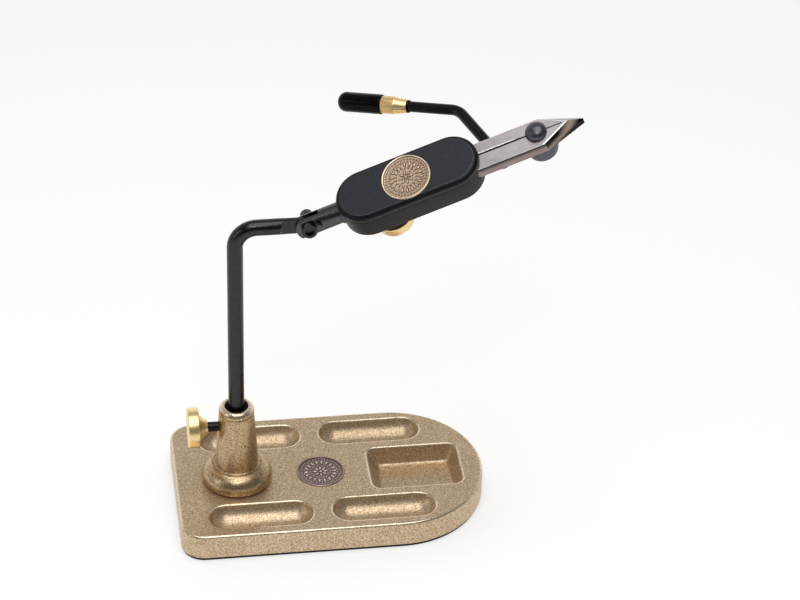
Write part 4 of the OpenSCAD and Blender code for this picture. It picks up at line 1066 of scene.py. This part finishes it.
# %% Setting one shape out on a circle
def ring_tree():
    tree = bpy.data.node_groups.new("shapes on a circle", "GeometryNodeTree")
    sockets = {}
    for label, kind in (("Shape", "Object"), ("Radius", "Float"), ("Count", "Int"),
                        ("Height", "Float"), ("Turn", "Float"), ("Finish", "Material")):
        socket = tree.interface.new_socket(label, in_out="INPUT", socket_type="NodeSocket" + kind)
        sockets[label] = socket.identifier
    tree.interface.new_socket("Geometry", in_out="OUTPUT", socket_type="NodeSocketGeometry")
    start = tree.nodes.new("NodeGroupInput")
    end = tree.nodes.new("NodeGroupOutput")
    circle = tree.nodes.new("GeometryNodeMeshCircle")
    tree.links.new(start.outputs["Count"], circle.inputs["Vertices"])
    tree.links.new(start.outputs["Radius"], circle.inputs["Radius"])
    spin = tree.nodes.new("GeometryNodeTransform")
    combine = tree.nodes.new("ShaderNodeCombineXYZ")
    tree.links.new(start.outputs["Turn"], combine.inputs["Z"])
    tree.links.new(circle.outputs[0], spin.inputs["Geometry"])
    tree.links.new(combine.outputs[0], spin.inputs["Rotation"])
    lift = tree.nodes.new("ShaderNodeCombineXYZ")
    tree.links.new(start.outputs["Height"], lift.inputs["Z"])
    tree.links.new(lift.outputs[0], spin.inputs["Translation"])
    shape = tree.nodes.new("GeometryNodeObjectInfo")
    tree.links.new(start.outputs["Shape"], shape.inputs["Object"])
    place = tree.nodes.new("GeometryNodeInputPosition")
    flat = tree.nodes.new("ShaderNodeVectorMath")
    flat.operation = "MULTIPLY"
    flat.inputs[1].default_value = (1, 1, 0)
    tree.links.new(place.outputs[0], flat.inputs[0])
    align = tree.nodes.new("FunctionNodeAlignRotationToVector")
    align.axis = "X"
    align.pivot_axis = "Z"
    tree.links.new(flat.outputs[0], align.inputs["Vector"])
    instance = tree.nodes.new("GeometryNodeInstanceOnPoints")
    tree.links.new(spin.outputs[0], instance.inputs["Points"])
    tree.links.new(shape.outputs["Geometry"], instance.inputs["Instance"])
    tree.links.new(align.outputs[0], instance.inputs["Rotation"])
    realize = tree.nodes.new("GeometryNodeRealizeInstances")
    tree.links.new(instance.outputs[0], realize.inputs[0])
    paint = tree.nodes.new("GeometryNodeSetMaterial")
    tree.links.new(realize.outputs[0], paint.inputs["Geometry"])
    tree.links.new(start.outputs["Finish"], paint.inputs["Material"])
    tree.links.new(paint.outputs[0], end.inputs[0])
    return tree, sockets


RING_TREE, RING_SOCKETS = ring_tree()


# %% One shape of the relief
TIP_NARROWS = 0.45
CROWN_SHARE = 0.30
CROWN_RISE = 0.86


def lens(length, width, height, sides=14):
    """A low leaf-shaped mound that lies along X, as a closed mesh in metres."""
    bm = bmesh.new()
    top = bm.verts.new((0, 0, height))
    middle = []
    rim = []
    for k in range(sides):
        a = 2 * math.pi * k / sides
        x, y = math.cos(a), math.sin(a)
        narrow = 1 - TIP_NARROWS * abs(x) ** 2
        middle.append(bm.verts.new((x * length * CROWN_SHARE, y * width * CROWN_SHARE,
                                    height * CROWN_RISE)))
        rim.append(bm.verts.new((x * length / 2, y * width / 2 * narrow, 0)))
    for k in range(sides):
        n = (k + 1) % sides
        bm.faces.new((top, middle[k], middle[n]))
        bm.faces.new((middle[k], rim[k], rim[n], middle[n]))
    bm.faces.new(list(reversed(rim)))
    bmesh.ops.recalc_face_normals(bm, faces=bm.faces)
    mesh = bpy.data.meshes.new("motif")
    bm.transform(Matrix.Scale(MM, 4))
    bm.to_mesh(mesh)
    bm.free()
    mesh.polygons.foreach_set("use_smooth", [True] * len(mesh.polygons))
    return linked("motif", mesh)


def on_circle(name, shape, radius, count, height, turn, look):
    """Turns one ring of shapes into a plain mesh, and returns the mesh."""
    holder = linked(name, bpy.data.meshes.new(name))
    modifier = holder.modifiers.new("ring", "NODES")
    modifier.node_group = RING_TREE
    for label, value in (("Shape", shape), ("Radius", radius * MM), ("Count", count),
                         ("Height", height * MM), ("Turn", math.radians(turn)),
                         ("Finish", look)):
        modifier[RING_SOCKETS[label]] = value
    graph = bpy.context.evaluated_depsgraph_get()
    mesh = bpy.data.meshes.new_from_object(holder.evaluated_get(graph))
    bpy.data.objects.remove(holder)
    return mesh


# %% One badge from its dish and its rings of relief
FIELD = 1.2
BADGE_T = 1.9
BADGE_PROUD = 0.5
BASE_BADGE_D = 29.2
HEAD_BADGE_D = 29.3
OUTLINE_GROW = 0.6
OUTLINE_RISE = 0.4


def motifs(wide):
    """Name, length, width, height, radius of the ring, count and turn of each ring of relief."""
    return (("beads", 1.0, 1.0, 0.42, wide - 2.6, 40, 0),
            ("leaves", 3.7, 1.5, 0.5, wide - 5.8, 18, 0),
            ("darts", 1.6, 0.75, 0.4, wide - 4.5, 18, 10),
            ("inner_beads", 1.0, 1.0, 0.4, wide - 8.5, 18, 0),
            ("petals", 3.2, 1.35, 0.5, 3.1, 8, 0),
            ("eye", 2.0, 2.0, 0.55, 0.0005, 3, 0))


def badge(name, diameter, matrix, rim, field, relief, patina):
    """A dish and its rings; every raised shape stands on a slightly larger dark one."""
    wide = diameter / 2 - 0.04
    outline = rounded([(0, FIELD), (wide - 1.15, FIELD, 0.3), (wide - 1.0, 1.7, 0.2),
                       (wide - 0.5, BADGE_T, 0.35), (wide, 1.5, 0.35), (wide, 0, 0.1), (0, 0)], 5)
    dish = spun(name, outline, matrix, [field, rim, patina], 128,
                finish_of=lambda row: 0 if row == 0 else 2 if row < 7 else 1)
    rings = []
    for label, length, width, height, radius, count, turn in motifs(wide):
        for suffix, grow, rise, look in (("", 0, height, relief),
                                         ("_outline", OUTLINE_GROW, height * OUTLINE_RISE,
                                          patina)):
            shape = lens(length + grow, width + grow, rise)
            mesh = on_circle(label + suffix, shape, radius, count, FIELD - 0.02, turn, look)
            bpy.data.objects.remove(shape)
            mesh.transform(Matrix.Scale(MM, 4) @ matrix @ Matrix.Scale(1 / MM, 4))
            rings.append(linked(f"{name}_{label}{suffix}", mesh))
    return dish, rings


# %% The copper badge on the base and the bronze one on the head
for name, diameter, matrix, looks, body, slot, node in (
        ("base_medal", BASE_BADGE_D,
         Matrix.Translation((BADGE_X, 0, BASE_TOP + BADGE_PROUD - BADGE_T)),
         (COPPER_RIM, COPPER_FIELD, COPPER_RELIEF, COPPER_LINE),
         "base", "badge_copper", "base_badge"),
        ("head_medal", HEAD_BADGE_D,
         ON_HEAD @ Matrix.Translation((HEAD_MID, 0, FACE_T + BADGE_PROUD - BADGE_T)),
         (BADGE_RIM, BADGE_FIELD, BADGE_RELIEF, BADGE_LINE),
         "head", "badge_bronze", "head_badge")):
    dish, rings = badge(name, diameter, matrix, *looks)
    placed(dish, body, slot, node)
    for ring in rings:
        placed(ring, body, slot)

# %% [markdown]
# ## Small parts that keep their solids
# The pad, screws, pins, springs and bushes are right as they are and are seen only from behind,
# from below or in gaps. They get a finish each, in place of the one that the solid came with.

# %% Finishes for the solids that stay
KEPT = {
    "base_pad": PAD_RUBBER, "post_bolt": BRIGHT_STEEL, "stem_bush": BUSH_BLACK,
    "clamp_shoe": BRASS, "clamp_screw": ROD_BLACK, "retaining_ring": BRIGHT_STEEL,
    "cover_screws": BLACK_STEEL, "head_bush": GUNMETAL, "jaw_pins": BRIGHT_STEEL,
    "jaw_springs": BRIGHT_STEEL, "tension_shoe": NYLON, "tension_screw": BLACK_STEEL,
    "lever_cam": GUNMETAL, "guide_bolt": GUNMETAL,
}
for node, look in KEPT.items():
    solids[node].data.materials.clear()
    solids[node].data.materials.append(look)
print("solids that keep their own mesh:", len(KEPT))

# %% [markdown]
# ## The floor
# The photograph is a studio cut-out on white. The floor is a pale matt plane. For rays that come
# from the camera or a reflection it also glows a little, so that it reads as white, and it still
# takes the object's shadow.

# %% The floor
FLOOR_SIZE = 6.0
FLOOR_GLOW = 0.53


def white_floor():
    mesh = bpy.data.meshes.new("studio_floor")
    mesh.from_pydata([(x * FLOOR_SIZE, y * FLOOR_SIZE, 0)
                      for x, y in ((-1, -1), (1, -1), (1, 1), (-1, 1))], [], [(0, 1, 2, 3)])
    floor = linked("studio_floor", mesh)
    material = bpy.data.materials.new("studio white")
    material.use_nodes = True
    tree = material.node_tree
    shader = tree.nodes["Principled BSDF"]
    shader.inputs["Base Color"].default_value = (0.6, 0.6, 0.6, 1)
    shader.inputs["Roughness"].default_value = 0.9
    rays = tree.nodes.new("ShaderNodeLightPath")
    seen = rays.outputs["Is Camera Ray"]
    for x, kind in ((-400, "Is Glossy Ray"), (-200, "Is Transmission Ray")):
        either = wire(tree, "ShaderNodeMath", (x, 0), operation="MAXIMUM")
        tree.links.new(seen, either.inputs[0])
        tree.links.new(rays.outputs[kind], either.inputs[1])
        seen = either.outputs[0]
    glow = wire(tree, "ShaderNodeMath", (0, 0), operation="MULTIPLY")
    glow.inputs[1].default_value = FLOOR_GLOW
    tree.links.new(seen, glow.inputs[0])
    shader.inputs["Emission Color"].default_value = (1, 1, 1, 1)
    tree.links.new(glow.outputs[0], shader.inputs["Emission Strength"])
    mesh.materials.append(material)


white_floor()


# %% [markdown]
# ## The lamps
# A large softbox overhead makes the broad highlights, a small one in front opens the near sides,
# and one on the left draws the bright edge down the post. The room itself stays dim, so that the
# black pieces have something dark to reflect.

# %% The world and the lamps
MIDDLE = Vector((0.06, 0, 0.08))


def lamp(name, position, size, power, colour=(1, 1, 1)):
    data = bpy.data.lights.new(name, "AREA")
    data.shape = "RECTANGLE"
    data.size, data.size_y = size
    data.energy = power
    data.color = colour
    light = linked(name, data)
    light.location = position
    light.rotation_euler = (MIDDLE - Vector(position)).to_track_quat("-Z", "Y").to_euler()


def studio_world(room, sweep):
    """A room that is dim in front and overhead, with a pale sweep low down behind the object."""
    world = bpy.data.worlds.new("studio")
    bpy.context.scene.world = world
    world.use_nodes = True
    tree = world.node_tree
    where = wire(tree, "ShaderNodeTexCoord", (-900, 0))
    axes = wire(tree, "ShaderNodeSeparateXYZ", (-700, 0))
    tree.links.new(where.outputs["Generated"], axes.inputs[0])
    behind = spread(tree, axes.outputs["Y"], 0, 1, (-500, 150), -0.3, 0.8)
    low = spread(tree, axes.outputs["Z"], 1, 0, (-500, -150), 0.35, 0.95)
    pale = wire(tree, "ShaderNodeMath", (-300, 0), operation="MULTIPLY")
    tree.links.new(behind, pale.inputs[0])
    tree.links.new(low, pale.inputs[1])
    tree.links.new(spread(tree, pale.outputs[0], room, sweep, (-150, 0)),
                   tree.nodes["Background"].inputs["Strength"])
    tree.nodes["Background"].inputs["Color"].default_value = (1, 1, 1, 1)


studio_world(0.11, 1.1)
lamp("overhead softbox", (0.06, -0.28, 1.62), (1.3, 1.45), 14.5)
lamp("front softbox", (-0.1, -0.9, 1.35), (0.4, 0.3), 1.8)
lamp("left softbox", (-1.3, -0.4, 0.7), (0.5, 0.9), 2.1, (1.0, 0.97, 0.96))

# %% [markdown]
# ## The camera
# The camera's place, turn and focal length come from fitting the solids' outlines to the
# photograph. The focal length is in pixels of a picture 800 wide, which makes a long lens.

# %% The camera, fitted to the photograph
PICTURE_W = 800
SENSOR_W = 36
FOCUS = 3102.1
ELEVATION = math.radians(35.504)
AZIMUTH = math.radians(8.777)
ROLL = 0.028
AIM = Vector((96.926, 0, 142.682)) * MM
DISTANCE = 1.8217
ahead = Vector((math.cos(ELEVATION) * math.sin(AZIMUTH), math.cos(ELEVATION) * math.cos(AZIMUTH),
                -math.sin(ELEVATION)))
right = Vector((math.cos(AZIMUTH), -math.sin(AZIMUTH), 0))
up = right.cross(ahead)
right_rolled = math.cos(ROLL) * right + math.sin(ROLL) * up
up_rolled = -math.sin(ROLL) * right + math.cos(ROLL) * up
camera_data = bpy.data.cameras.new("photo_camera")
camera_data.sensor_width = SENSOR_W
camera_data.lens = FOCUS * SENSOR_W / PICTURE_W
camera_data.clip_end = 20
camera = linked("photo_camera", camera_data)
axes = Matrix((right_rolled, up_rolled, -ahead)).transposed().to_4x4()
camera.matrix_world = Matrix.Translation(AIM - DISTANCE * ahead) @ axes
bpy.context.scene.camera = camera
bpy.context.scene.view_settings.view_transform = "Standard"
print("camera at", [round(v, 4) for v in camera.location])
